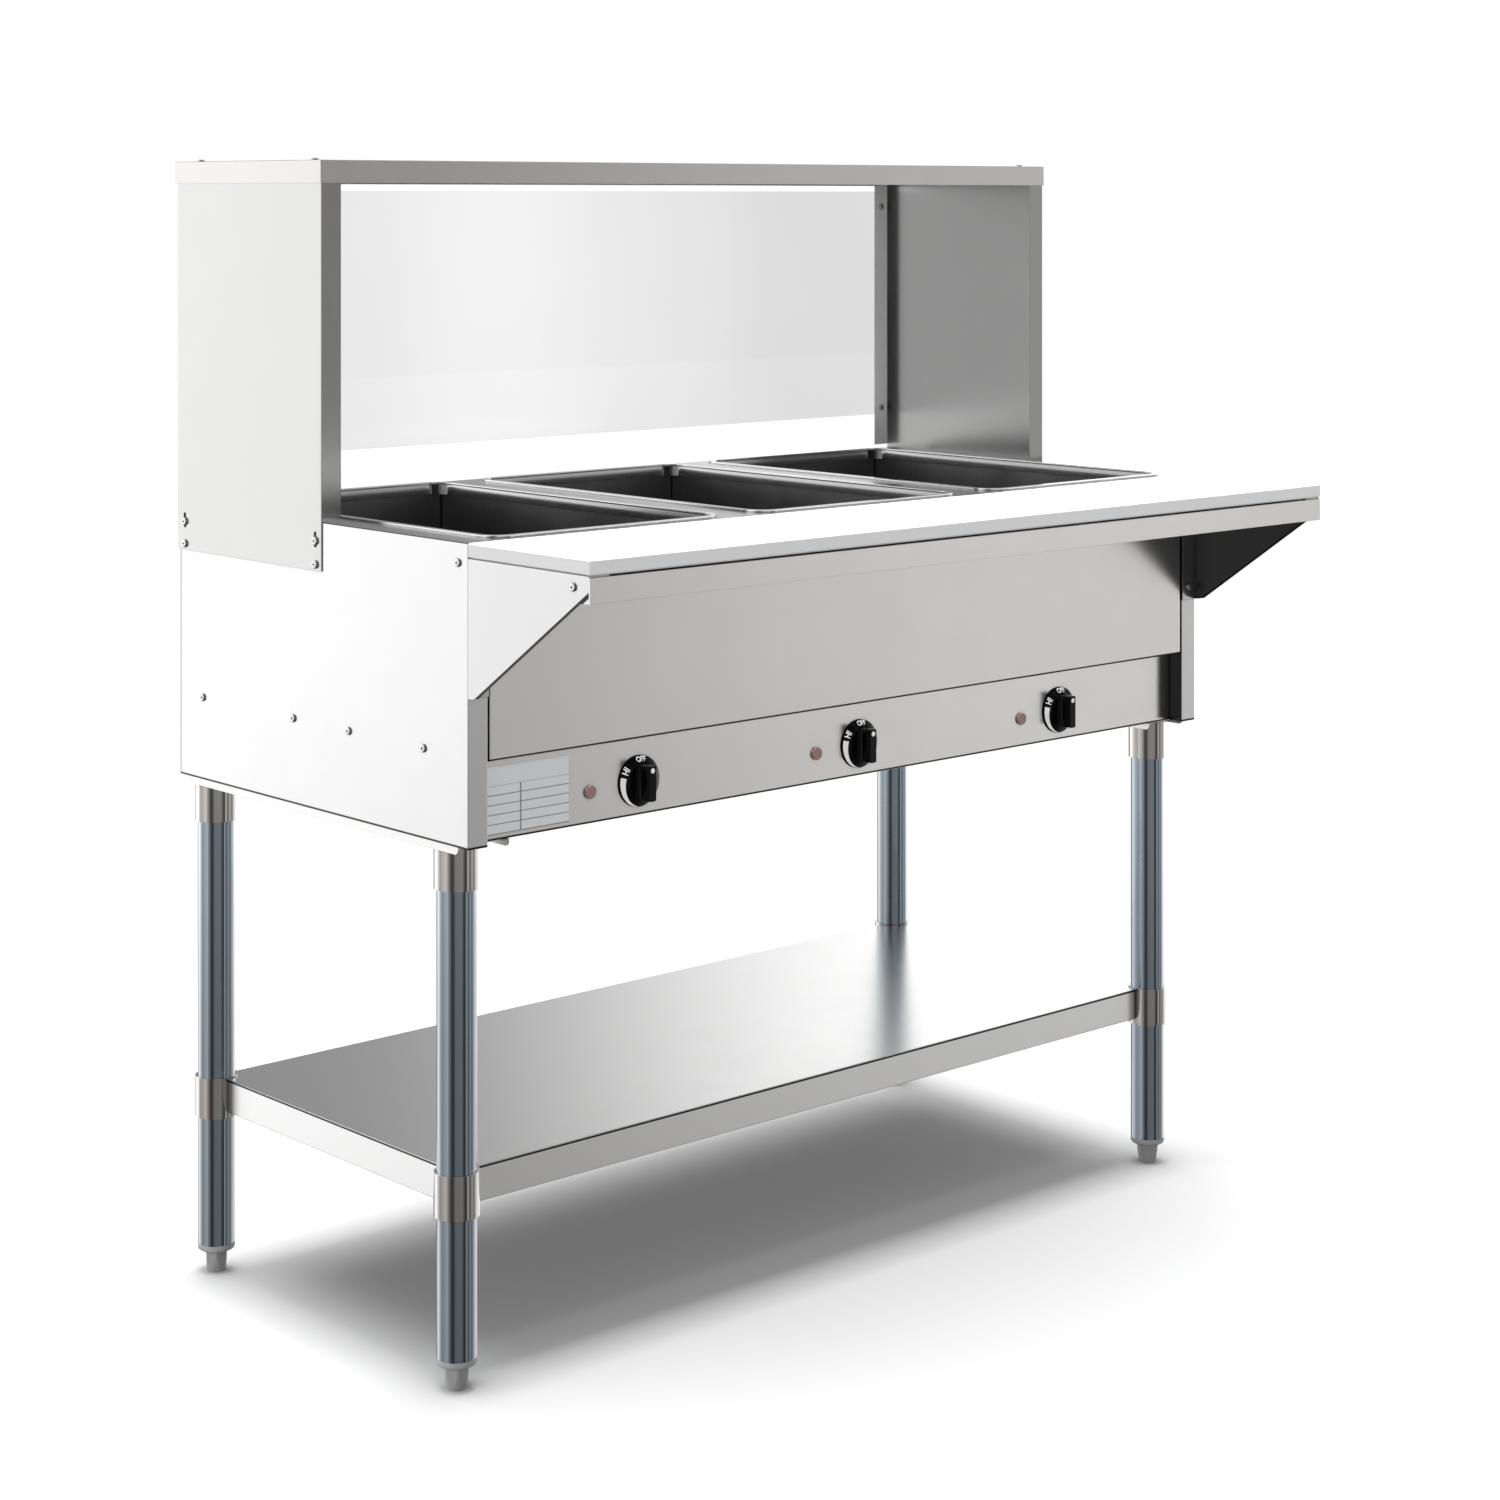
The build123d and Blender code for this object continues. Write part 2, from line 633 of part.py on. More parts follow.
def overshelf():
    """The top shelf: a shallow upturned pan that caps the posts."""
    edge = post_outer + overshelf_lap
    front = post_front - overshelf_lap
    back = post_back + overshelf_lap
    skirt_bottom = overshelf_top - overshelf_skirt
    pan = slab(-edge, edge, front, back, skirt_bottom, overshelf_top)
    pan = fillet(pan.edges().group_by(Axis.Z)[-1] + pan.edges().filter_by(Axis.Z), fold_radius)
    inner = edge - sheet
    pan -= slab(-inner, inner, front + sheet, back - sheet, skirt_bottom - 1, overshelf_top - sheet)
    hem_edge = post_outer - post_flange - 2.0
    pan += slab(-hem_edge, hem_edge, front + sheet, front + 11.0, skirt_bottom, skirt_bottom + sheet)
    pan += slab(-hem_edge, hem_edge, back - 11.0, back - sheet, skirt_bottom, skirt_bottom + sheet)
    for side in (-1, 1):
        for y in overshelf_screw_y:
            pan -= drill((side * flange_centre, y, overshelf_top), (0, 0, 1), 2.05)
    return pan


def guard_pane():
    """The clear rear guard, fixed to the posts' back flanges."""
    edge = post_outer - 3.0
    pane = slab(-edge, edge, post_back, post_back + pane_thickness, pane_bottom, pane_top)
    pane = fillet(pane.edges().filter_by(Axis.Y), 4.0)
    for side in (-1, 1):
        for z in pane_screw_z:
            pane -= drill((side * flange_centre, post_back, z), (0, 1, 0), 2.1, 20.0)
    return pane


# ---- Legs ----
def leg_channel():
    """Left channel under the body, open downwards, with rounded flange ends."""
    outer = half_inside
    inner = outer - channel_width
    front, back = 18.0, body_depth - 8.0
    web_bottom = body_bottom - bracket_sheet
    low = body_bottom - channel_height
    channel = slab(-outer, -inner, front + 6.0, back, web_bottom, body_bottom)
    for x0 in (-outer, -inner - bracket_sheet):
        flange = slab(x0, x0 + bracket_sheet, front, back, low, body_bottom)
        flange = fillet(flange.edges().filter_by(Axis.X).group_by(Axis.Z)[0], 6.0)
        channel += flange
    for y in channel_bolt_y:
        channel -= drill((-channel_bolt_x, y, web_bottom), (0, 0, 1), 3.05)
    return channel


def channel_bolts():
    """Hexagon bolts from below through channel, side panel and bottom cover, each with its nut."""
    web_bottom = body_bottom - bracket_sheet
    nut_seat = body_bottom + sheet + 1.0
    head = extrude(RegularPolygon(5.6, 6), amount=-3.8)
    bolt = head + Cylinder(3.0, 14.0, align=(Align.CENTER, Align.CENTER, Align.MIN))
    nut = extrude(RegularPolygon(5.6, 6), amount=4.5) - Cylinder(3.02, 20)
    pieces = []
    for side in (-1, 1):
        for y in channel_bolt_y:
            pieces.append(Pos(side * channel_bolt_x, y, web_bottom) * bolt)
            pieces.append(Pos(side * channel_bolt_x, y, nut_seat) * nut)
    return group(pieces)


def tube(x, y, outer, inner, z0, z1):
    """A round tube standing on a level."""
    ring = extrude(Pos(x, y, z0) * Circle(outer), amount=z1 - z0)
    return ring - rod((x, y, z0 - 1), (0, 0, 1), inner, z1 - z0 + 2)


def leg_socket(x, y):
    """The stainless socket welded under a channel."""
    bore = leg_radius + sliding_clearance
    socket_top = body_bottom - bracket_sheet
    socket = tube(x, y, socket_radius, bore, socket_bottom, socket_top)
    return socket - rod((x, y, socket_bottom + 20), (0, 1, 0), 3.05, 40)


def socket_screw(x, y):
    """The set screw at the back of a socket, against the leg."""
    start = (x, y + leg_radius + 0.02, socket_bottom + 20)
    return rod(start, (0, 1, 0), 3.0, 6.0) - rod(
        (x, y + leg_radius + 3.5, socket_bottom + 20), (0, 1, 0), 1.5, 6.0)


def leg(x, y):
    """A galvanised leg tube."""
    top = body_bottom - bracket_sheet - 1.0
    return tube(x, y, leg_radius, leg_radius - leg_wall, leg_bottom, top)


def foot_insert(x, y):
    """The plug in the end of a leg, bored for the foot's rod."""
    plug = leg_radius - leg_wall - 0.02
    insert = rod((x, y, foot_height), (0, 0, 1), leg_radius, leg_bottom - foot_height)
    insert = fillet(insert.edges().group_by(Axis.Z)[0], 3.0)
    insert += rod((x, y, leg_bottom), (0, 0, 1), plug, 30.0)
    return insert - rod((x, y, 0), (0, 0, 1), rod_radius + 0.05, 100.0)


def foot(x, y):
    """A bullet foot: a waisted hexagon body with a round tip and a rod in the insert."""
    body = extrude(RegularPolygon(12.4, 6), amount=foot_height - 0.2, taper=-2)
    tip = Cone(10.5, 13.5, foot_height - 0.2, align=(Align.CENTER, Align.CENTER, Align.MIN))
    body = body & tip
    body += rod((0, 0, foot_height - 1), (0, 0, 1), rod_radius, 50.0)
    return Pos(x, y, 0) * body


def corner_cuts(radius):
    return [rod((x, y, 0), (0, 0, 1), radius, 400.0) for x, y in leg_places]


def undershelf():
    """The undershelf pan: its skirts meet the collars, and its lower edges turn inwards."""
    low = undershelf_top - undershelf_skirt
    pan = slab(-leg_x, leg_x, leg_front, leg_back, low, undershelf_top)
    pan = fillet(pan.edges().group_by(Axis.Z)[-1] + pan.edges().group_by(Axis.Z)[0], fold_radius)
    hollow = slab(-leg_x + sheet, leg_x - sheet, leg_front + sheet, leg_back - sheet, low - 1,
                  undershelf_top - sheet)
    pan -= hollow
    lip = 12.0
    hem = slab(-leg_x + sheet, leg_x - sheet, leg_front + sheet, leg_back - sheet, low, low + sheet)
    hem -= slab(-leg_x + lip, leg_x - lip, leg_front + lip, leg_back - lip, low - 1, low + 3)
    pan += hem
    for cutter in corner_cuts(socket_radius):
        pan -= cutter
    return pan


def inward(x, y):
    """The level direction from a leg towards the middle of the undershelf."""
    return Vector(-1 if x > 0 else 1, 1 if y < well_y else -1, 0).normalized()


def collar(x, y):
    """A collar welded into a corner of the undershelf, sliding on the leg."""
    ring = tube(x, y, socket_radius, leg_radius + sliding_clearance, collar_bottom, collar_top)
    return ring - rod((x, y, collar_bottom + 20), inward(x, y), 3.05, 40)


def collar_screw(x, y):
    """The set screw on a collar's inner side."""
    direction = inward(x, y)
    start = Vector(x, y, collar_bottom + 20) + direction * (leg_radius + 0.02)
    socket = start + direction * 5.0
    screw = rod(start, direction, 3.0, 8.0)
    return screw - rod(socket, direction, 1.5, 6.0)


# ---- Fasteners ----
def panel_screws():
    """Screws in the side panels and in the back panel's edges."""
    screw = pan_screw()
    screws = []
    for side in (-1, 1):
        points = [(side * half_width, y, z) for y, z in side_screw_rows]
        screws += place_screws(screw, points, (side, 0, 0))
        points = [(side * back_screw_x, body_depth, z) for z in back_screw_z]
        screws += place_screws(screw, points, (0, 1, 0))
    return group(screws)


def bracket_screws():
    """Screws in the board brackets."""
    screw = pan_screw()
    screws = []
    side_y, side_z = bracket_side_screw
    for side in (-1, 1):
        screws += place_screws(screw, [(side * half_width, side_y, side_z)], (side, 0, 0))
        x = side * (stile_edge + stile_width / 2)
        points = [(x, -bracket_sheet, z) for z in bracket_flange_screws]
        screws += place_screws(screw, points, (0, -1, 0))
    return group(screws)


def overshelf_screws():
    """Screws that hang the posts, cap them with the overshelf and hold the guard."""
    screws = []
    post_screw = pan_screw(4.6, 2.6, 2.4, 8.0)
    top_screw = pan_screw()
    pane_screw = pan_screw(shank_length=11.5)
    for side in (-1, 1):
        points = [(side * post_outer, y, z) for y, z in post_screw_places]
        screws += place_screws(post_screw, points, (side, 0, 0))
        points = [(side * flange_centre, y, overshelf_top) for y in overshelf_screw_y]
        screws += place_screws(top_screw, points, (0, 0, 1))
        points = [(side * flange_centre, post_back - sheet, z) for z in pane_screw_z]
        screws += place_screws(pane_screw, points, (0, -1, 0))
    return group(screws)


def pane_nuts():
    """The nuts behind the guard."""
    nut = extrude(RegularPolygon(4.0, 6), amount=3.2) - Cylinder(2.02, 12)
    back = post_back + pane_thickness
    points = [(side * flange_centre, back, z) for side in (-1, 1) for z in pane_screw_z]
    return group(place_screws(nut, points, (0, 1, 0)))


# ---- Assembly ----
def build_nodes():
    nodes = {
        "left_side_panel": side_panel(),
        "back_panel": back_panel(),
        "deck": deck(),
        "front_apron": front_apron(),
        "control_panel": control_panel(),
        "bottom_cover": bottom_cover(),
        "rating_label": rating_label(),
        "well_support_shelf": well_support_shelf(),
        "well_insulation": well_insulation(),
        "element_supports": element_supports(),
        "heat_switches": group([make(x) for x in knob_x for make in (heat_switch, switch_nut)]),
        "pilot_lenses": group([pilot_lens(x + pilot_offset) for x in knob_x]),
        "pilot_bodies": group([pilot_body(x + pilot_offset) for x in knob_x]),
        "terminal_block": terminal_block(),
        "wiring_harness": wiring_harness(),
        "power_cord": power_cord(),
        "power_plug": power_plug(),
        "cord_grip": cord_grip(),
        "left_board_bracket": board_bracket(),
        "board_rail": board_rail(),
        "cutting_board": cutting_board(),
        "left_post": overshelf_post(),
        "overshelf": overshelf(),
        "guard_pane": guard_pane(),
        "left_leg_channel": leg_channel(),
        "channel_bolts": channel_bolts(),
        "leg_sockets": group([leg_socket(x, y) for x, y in leg_places]),
        "socket_screws": group([socket_screw(x, y) for x, y in leg_places]),
        "foot_inserts": group([foot_insert(x, y) for x, y in leg_places]),
        "undershelf": undershelf(),
        "undershelf_collars": group([collar(x, y) for x, y in leg_places]),
        "collar_screws": group([collar_screw(x, y) for x, y in leg_places]),
        "panel_screws": panel_screws(),
        "bracket_screws": bracket_screws(),
        "overshelf_screws": overshelf_screws(),
        "pane_nuts": pane_nuts(),
    }
    for name in ("side_panel", "board_bracket", "post", "leg_channel"):
        nodes["right_" + name] = mirror_x(nodes["left_" + name])
    for name, x, switch_x in zip(well_names, well_x, knob_x):
        nodes[name + "_well_liner"] = well_liner(x)
        nodes[name + "_heating_element"] = heating_element(x)
        nodes[name + "_switch_shaft"] = switch_shaft(switch_x)
        nodes[name + "_knob"] = knob(switch_x)
    for name, (x, y) in zip(leg_names, leg_places):
        nodes[name + "_leg"] = leg(x, y)
        nodes[name + "_foot"] = foot(x, y)
    return nodes


os.makedirs("parts", exist_ok=True)
for node_name, shape in build_nodes().items():
    export_step(Pos(0, front_y, 0) * shape, "parts/" + node_name + ".step")
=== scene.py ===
import math

import bmesh
import bpy
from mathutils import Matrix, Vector


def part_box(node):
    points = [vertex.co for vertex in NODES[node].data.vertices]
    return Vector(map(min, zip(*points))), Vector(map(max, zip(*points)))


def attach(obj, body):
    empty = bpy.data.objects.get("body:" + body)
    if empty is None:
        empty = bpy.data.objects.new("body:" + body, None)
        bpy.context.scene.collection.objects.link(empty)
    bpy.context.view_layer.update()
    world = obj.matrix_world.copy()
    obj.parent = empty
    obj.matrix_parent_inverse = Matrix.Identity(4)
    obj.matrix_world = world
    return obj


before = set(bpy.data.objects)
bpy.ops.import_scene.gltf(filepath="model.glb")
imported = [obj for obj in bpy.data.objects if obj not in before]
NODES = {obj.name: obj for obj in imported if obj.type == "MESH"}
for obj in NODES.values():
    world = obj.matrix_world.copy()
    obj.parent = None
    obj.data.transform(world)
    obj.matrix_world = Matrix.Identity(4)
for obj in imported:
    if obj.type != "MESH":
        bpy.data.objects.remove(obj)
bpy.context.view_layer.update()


# ---------------------------------------------------------------- node helpers
class Graph:
    """A small builder for one material's node tree."""

    def __init__(self, name):
        self.material = bpy.data.materials.new(name)
        self.material.use_nodes = True
        self.tree = self.material.node_tree
        self.tree.nodes.clear()
        self.output = self.tree.nodes.new("ShaderNodeOutputMaterial")
        coordinates = self.add("ShaderNodeTexCoord")
        self.object_space = coordinates.outputs["Object"]
        self.object_normal = coordinates.outputs["Normal"]

    def add(self, kind, **settings):
        node = self.tree.nodes.new(kind)
        for key, value in settings.items():
            setattr(node, key, value)
        return node

    def plug(self, source, socket):
        if isinstance(source, bpy.types.NodeSocket):
            self.tree.links.new(source, socket)
        elif isinstance(source, tuple) and len(source) == 3 and socket.type == "RGBA":
            socket.default_value = (*source, 1.0)
        else:
            socket.default_value = source

    def stretched(self, scale):
        """Object coordinates in metres, scaled separately along X, Y and Z."""
        mapping = self.add("ShaderNodeMapping")
        self.plug(self.object_space, mapping.inputs["Vector"])
        mapping.inputs["Scale"].default_value = scale
        return mapping.outputs["Vector"]

    def noise(self, scale, detail=3.0, rough=0.55):
        node = self.add("ShaderNodeTexNoise")
        self.plug(self.stretched(scale), node.inputs["Vector"])
        node.inputs["Scale"].default_value = 1.0
        node.inputs["Detail"].default_value = detail
        node.inputs["Roughness"].default_value = rough
        return node.outputs["Fac"]

    def remap(self, value, low, high, to_low, to_high):
        node = self.add("ShaderNodeMapRange")
        self.plug(value, node.inputs["Value"])
        node.inputs["From Min"].default_value = low
        node.inputs["From Max"].default_value = high
        node.inputs["To Min"].default_value = to_low
        node.inputs["To Max"].default_value = to_high
        return node.outputs["Result"]

    def math(self, operation, a, b=0.0):
        node = self.add("ShaderNodeMath", operation=operation)
        self.plug(a, node.inputs[0])
        self.plug(b, node.inputs[1])
        return node.outputs[0]

    def mix_colour(self, factor, a, b):
        node = self.add("ShaderNodeMix", data_type="RGBA")
        self.plug(factor, node.inputs[0])
        self.plug(a, node.inputs[6])
        self.plug(b, node.inputs[7])
        return node.outputs[2]

    def blend(self, factor, a, b):
        node = self.add("ShaderNodeMix", data_type="FLOAT")
        self.plug(factor, node.inputs[0])
        self.plug(a, node.inputs[2])
        self.plug(b, node.inputs[3])
        return node.outputs[0]

    def axis(self, index):
        node = self.add("ShaderNodeSeparateXYZ")
        self.plug(self.object_space, node.inputs[0])
        return node.outputs[index]

    def bump(self, height, strength, distance, soft_edge=0.0):
        node = self.add("ShaderNodeBump")
        self.plug(height, node.inputs["Height"])
        node.inputs["Strength"].default_value = strength
        node.inputs["Distance"].default_value = distance
        if soft_edge > 0.0:
            edge = self.add("ShaderNodeBevel", samples=4)
            edge.inputs["Radius"].default_value = soft_edge
            self.plug(edge.outputs["Normal"], node.inputs["Normal"])
        return node.outputs["Normal"]

    def crevice_shade(self, reach, low=0.25, high=0.85, darkest=0.08):
        """Painted shade: a factor that falls from 1 on open faces to darkest in gaps narrower than the reach."""
        node = self.add("ShaderNodeAmbientOcclusion", samples=4, only_local=False)
        node.inputs["Distance"].default_value = reach
        return self.remap(node.outputs["AO"], low, high, darkest, 1.0)

    def shaded(self, colour, factor):
        """The colour multiplied by a factor."""
        node = self.add("ShaderNodeMix", data_type="RGBA", blend_type="MULTIPLY")
        node.inputs[0].default_value = 1.0
        self.plug(colour, node.inputs[6])
        self.plug(factor, node.inputs[7])
        return node.outputs[2]

    def leaning(self, normal, sideways, upward):
        """The normal tipped along X and upward by two amounts."""
        scale = self.add("ShaderNodeCombineXYZ")
        self.plug(sideways, scale.inputs[0])
        self.plug(upward, scale.inputs[2])
        total = self.add("ShaderNodeVectorMath", operation="ADD")
        self.plug(normal, total.inputs[0])
        self.plug(scale.outputs[0], total.inputs[1])
        unit = self.add("ShaderNodeVectorMath", operation="NORMALIZE")
        self.plug(total.outputs[0], unit.inputs[0])
        return unit.outputs[0]

    def near_line(self, direction, level, width):
        """1 within a width of the plane where the point's product with a direction equals a level,
        on faces that run into the plane. A face lying in the plane is left alone."""
        product = self.add("ShaderNodeVectorMath", operation="DOT_PRODUCT")
        self.plug(self.object_space, product.inputs[0])
        product.inputs[1].default_value = direction
        away = self.math("ABSOLUTE", self.math("SUBTRACT", product.outputs["Value"], level))
        facing = self.add("ShaderNodeVectorMath", operation="DOT_PRODUCT")
        self.plug(self.object_normal, facing.inputs[0])
        facing.inputs[1].default_value = direction
        runs_in = self.math("LESS_THAN", self.math("ABSOLUTE", facing.outputs["Value"]), 0.7)
        return self.math("MULTIPLY", self.remap(away, width * 0.7, width, 1.0, 0.0), runs_in)

    def rim(self, inner, outer):
        """0 where the surface faces the viewer, rising to 1 where it turns away, as on a tube's edge."""
        weight = self.add("ShaderNodeLayerWeight")
        weight.inputs["Blend"].default_value = 0.5
        return self.remap(weight.outputs["Facing"], inner, outer, 0.0, 1.0)

    def surface(self, **inputs):
        node = self.add("ShaderNodeBsdfPrincipled")
        for key, value in inputs.items():
            self.plug(value, node.inputs[key.replace("_", " ")])
        self.tree.links.new(node.outputs[0], self.output.inputs["Surface"])
        return self.material


GRAIN = {
    "x": (3.0, 900.0, 900.0),
    "y": (900.0, 3.0, 900.0),
    "z": (900.0, 900.0, 3.0),
}


def inner_faces(g, outer, sides_only):
    """1 on the faces folded inward from the outer skin at x = outer, and 0 on the skin itself."""
    inside = g.math("LESS_THAN", g.math("ABSOLUTE", g.axis(0)), outer - 0.0007)
    if not sides_only:
        return inside
    split = g.add("ShaderNodeSeparateXYZ")
    g.plug(g.object_normal, split.inputs[0])
    sideways = g.math("GREATER_THAN", g.math("ABSOLUTE", split.outputs[0]), 0.7)
    return g.math("MULTIPLY", inside, sideways)


def rounded_corners(g):
    """1 where an upright face turns midway between X and Y, and 0 on faces along either."""
    split = g.add("ShaderNodeSeparateXYZ")
    g.plug(g.object_normal, split.inputs[0])
    product = g.math("ABSOLUTE", g.math("MULTIPLY", split.outputs[0], split.outputs[1]))
    return g.remap(product, 0.30, 0.42, 0.0, 1.0)


def brushed_metal(name, colour, rough, grain="x", depth=0.008, soft_edge=0.0006, spread=0.010,
                  outer=None, inner_shade=1.0, sides_only=False, rolled=None, shade_lines=(),
                  open_and_lit_flange=None, bead_highlight=None, crevice_shade_reach=0.006, edge=None):
    """Sheet metal with a fine brushed grain, handling smears and faint cloudy wear.
    With an outer skin given, the faces folded inward from it are painted darker by a factor, as painted shade.
    Rolled gives the levels of a flange's foot and top and a tone that darkens the flange as painted shade: it curves
    over towards its top.
    Dark lines of painted shade run along folded edges and seams, each a direction, a level along it and a half-width.
    Faces past a given depth towards the rear lean a little open in their normals, towards the middle of the server,
    and are painted 1.5 times lighter as painted light.
    Above a given level near the rim's top the metal is smoother and painted near white, a painted highlight. Towards
    a tube's silhouette its colour turns to the edge colour, a painted sheen."""
    g = Graph(name)
    streaks = g.noise(GRAIN[grain], 2.0)
    wide = g.noise(tuple(value * 0.2 for value in GRAIN[grain]), 2.0)
    clouds = g.noise((2.5, 2.5, 2.5), 3.0)
    smears = g.noise((19.0, 19.0, 19.0), 4.0)
    tone = g.math("ADD", g.remap(streaks, 0.3, 0.7, -0.3, 0.3), g.remap(wide, 0.3, 0.7, -0.2, 0.2))
    tone = g.math("ADD", tone, g.remap(clouds, 0.3, 0.7, -0.4, 0.4))
    dark = tuple(c * 0.98 for c in colour)
    light = tuple(min(1.0, c * 1.02) for c in colour)
    base = g.mix_colour(g.remap(tone, -1.0, 1.0, 0.0, 1.0), dark, light)
    # Painted shade: the faces folded inward are darkened by a factor.
    if outer is not None:
        painted_inner_shade = tuple(c * inner_shade for c in colour)
        base = g.mix_colour(inner_faces(g, outer, sides_only), base, painted_inner_shade)
    roughness = g.math("ADD", g.remap(streaks, 0.3, 0.7, rough - spread, rough + spread),
                       g.remap(smears, 0.35, 0.65, -0.006, 0.010))
    normal = g.bump(streaks, depth, 0.0002, soft_edge)
    # Painted shade: the flange below its top is darkened by the tone; its normals lean over towards the top.
    if rolled is not None:
        foot, top, tone = rolled
        flange = g.math("LESS_THAN", g.axis(2), top)
        base = g.mix_colour(flange, base, tuple(c * tone for c in colour))
        lean = g.math("MULTIPLY", g.math("POWER", g.remap(g.axis(2), foot, top, 0.0, 1.0), 3.5), 0.40)
        lean = g.math("ADD", lean, g.math("MULTIPLY", rounded_corners(g), 3.0))
        normal = g.leaning(normal, 0.0, g.math("MULTIPLY", lean, flange))
    # Painted highlight: above this level the metal is painted near white, and made smoother.
    if bead_highlight is not None:
        painted_bead_highlight = g.math("GREATER_THAN", g.axis(2), bead_highlight)
        base = g.mix_colour(painted_bead_highlight, base, (0.97, 0.97, 0.965))
        roughness = g.blend(painted_bead_highlight, roughness, 0.14)
    # Painted light: the rear flange is painted 1.5 times lighter; its normals lean open.
    if open_and_lit_flange is not None:
        lit_rear = g.math("GREATER_THAN", g.axis(1), open_and_lit_flange)
        inward = g.math("MULTIPLY", g.math("SIGN", g.axis(0)), -0.42)
        normal = g.leaning(normal, g.math("MULTIPLY", lit_rear, inward), 0.0)
        base = g.mix_colour(lit_rear, base, tuple(min(1.0, c * 1.5) for c in colour))
    # Painted shade: dark lines along folds and seams.
    for direction, level, width in shade_lines:
        base = g.mix_colour(g.near_line(direction, level, width), base, tuple(c * 0.05 for c in colour))
    # Painted sheen: the colour turns lighter towards the silhouette.
    if edge is not None:
        base = g.mix_colour(g.rim(0.36, 0.62), base, edge)
    # Painted shade in gaps and crevices.
    if crevice_shade_reach:
        base = g.shaded(base, g.crevice_shade(crevice_shade_reach))
    return g.surface(Base_Color=base, Metallic=1.0, Roughness=roughness, Normal=normal)


def leg_metal():
    """Galvanised tube: bluish zinc with a faint spangle, and a painted sheen that turns lighter towards the
    silhouette.
    """
    g = Graph("galvanised_tube")
    cells = g.add("ShaderNodeTexVoronoi", feature="F1")
    g.plug(g.stretched((70.0, 70.0, 30.0)), cells.inputs["Vector"])
    cells.inputs["Scale"].default_value = 1.0
    streaks = g.noise((300.0, 300.0, 3.0), 2.0)
    clouds = g.noise((9.0, 9.0, 1.5), 2.0)
    tone = g.math("ADD", g.remap(cells.outputs["Distance"], 0.0, 1.0, -0.1, 0.1), g.remap(clouds, 0.3, 0.7, 0.3, 0.7))
    base = g.mix_colour(tone, (0.225, 0.265, 0.300), (0.270, 0.312, 0.348))
    # Painted sheen: lighter towards the silhouette.
    base = g.mix_colour(g.rim(0.40, 0.66), base, (0.62, 0.65, 0.68))
    roughness = g.remap(streaks, 0.3, 0.7, 0.07, 0.10)
    return g.surface(Base_Color=base, Metallic=1.0, Roughness=roughness,
                     Normal=g.bump(streaks, 0.006, 0.0002))


def plastic(name, colour, rough, grain=260.0, depth=0.12, shine=0.5, soft_edge=0.0005):
    """Moulded plastic with a fine texture and slightly uneven gloss."""
    g = Graph(name)
    fine = g.noise((grain, grain, grain), 3.0)
    clouds = g.noise((17.0, 17.0, 17.0), 3.0)
    dark = tuple(c * 0.9 for c in colour)
    base = g.mix_colour(g.remap(clouds, 0.3, 0.7, 0.0, 1.0), dark, colour)
    roughness = g.remap(g.math("ADD", fine, clouds), 0.7, 1.3, rough - 0.05, rough + 0.06)
    return g.surface(Base_Color=base, Metallic=0.0, Roughness=roughness, Specular_IOR_Level=shine,
                     Normal=g.bump(fine, depth, 0.0003, soft_edge))


def polyethylene():
    """The white cutting board: a faint moulded stipple and long fine knife lines."""
    g = Graph("cutting_board_white")
    stipple = g.noise((420.0, 420.0, 420.0), 2.0)
    lines = g.noise((500.0, 14.0, 500.0), 2.0)
    cuts = g.remap(lines, 0.63, 0.70, 0.0, 1.0)
    base = g.mix_colour(g.math("MULTIPLY", cuts, 0.25), (0.78, 0.78, 0.78), (0.71, 0.71, 0.70))
    height = g.math("SUBTRACT", stipple, g.math("MULTIPLY", cuts, 0.6))
    return g.surface(Base_Color=base, Roughness=g.remap(stipple, 0.3, 0.7, 0.38, 0.5),
                     Normal=g.bump(height, 0.08, 0.0002, 0.0008))


def clear_guard():
    """The clear rear guard: nearly colourless, a little brighter near the middle as painted light, with a faint haze.
    """
    g = Graph("clear_guard")
    haze = g.noise((3.0, 3.0, 3.0), 2.0)
    # Painted light: brighter near x = -0.10, falling off to each side.
    across = g.math("ABSOLUTE", g.math("SUBTRACT", g.axis(0), -0.10))
    level = g.math("ADD", g.remap(across, 0.05, 0.45, 0.93, 0.855), g.remap(haze, 0.3, 0.7, -0.012, 0.012))
    shade = g.add("ShaderNodeCombineColor")
    for channel in range(3):
        g.plug(level, shade.inputs[channel])
    clear = g.add("ShaderNodeBsdfTransparent")
    g.plug(shade.outputs[0], clear.inputs["Color"])
    gloss = g.add("ShaderNodeBsdfGlossy")
    g.plug(g.remap(haze, 0.3, 0.7, 0.02, 0.06), gloss.inputs["Roughness"])
    rim = g.add("ShaderNodeFresnel")
    rim.inputs["IOR"].default_value = 1.3
    mix = g.add("ShaderNodeMixShader")
    g.plug(g.math("MULTIPLY", rim.outputs[0], 0.25), mix.inputs[0])
    g.plug(clear.outputs[0], mix.inputs[1])
    g.plug(gloss.outputs[0], mix.inputs[2])
    g.plug(mix.outputs[0], g.output.inputs["Surface"])
    return g.material


def pilot_amber():
    """The unlit pilot lenses: muted pink plastic with a fine texture."""
    g = Graph("pilot_lens")
    fine = g.noise((900.0, 900.0, 900.0), 2.0)
    base = g.mix_colour(g.remap(fine, 0.3, 0.7, 0.0, 1.0), (0.50, 0.30, 0.28), (0.60, 0.38, 0.355))
    return g.surface(Base_Color=base, Roughness=g.remap(fine, 0.3, 0.7, 0.3, 0.42),
                     Normal=g.bump(fine, 0.15, 0.0003, 0.0004))


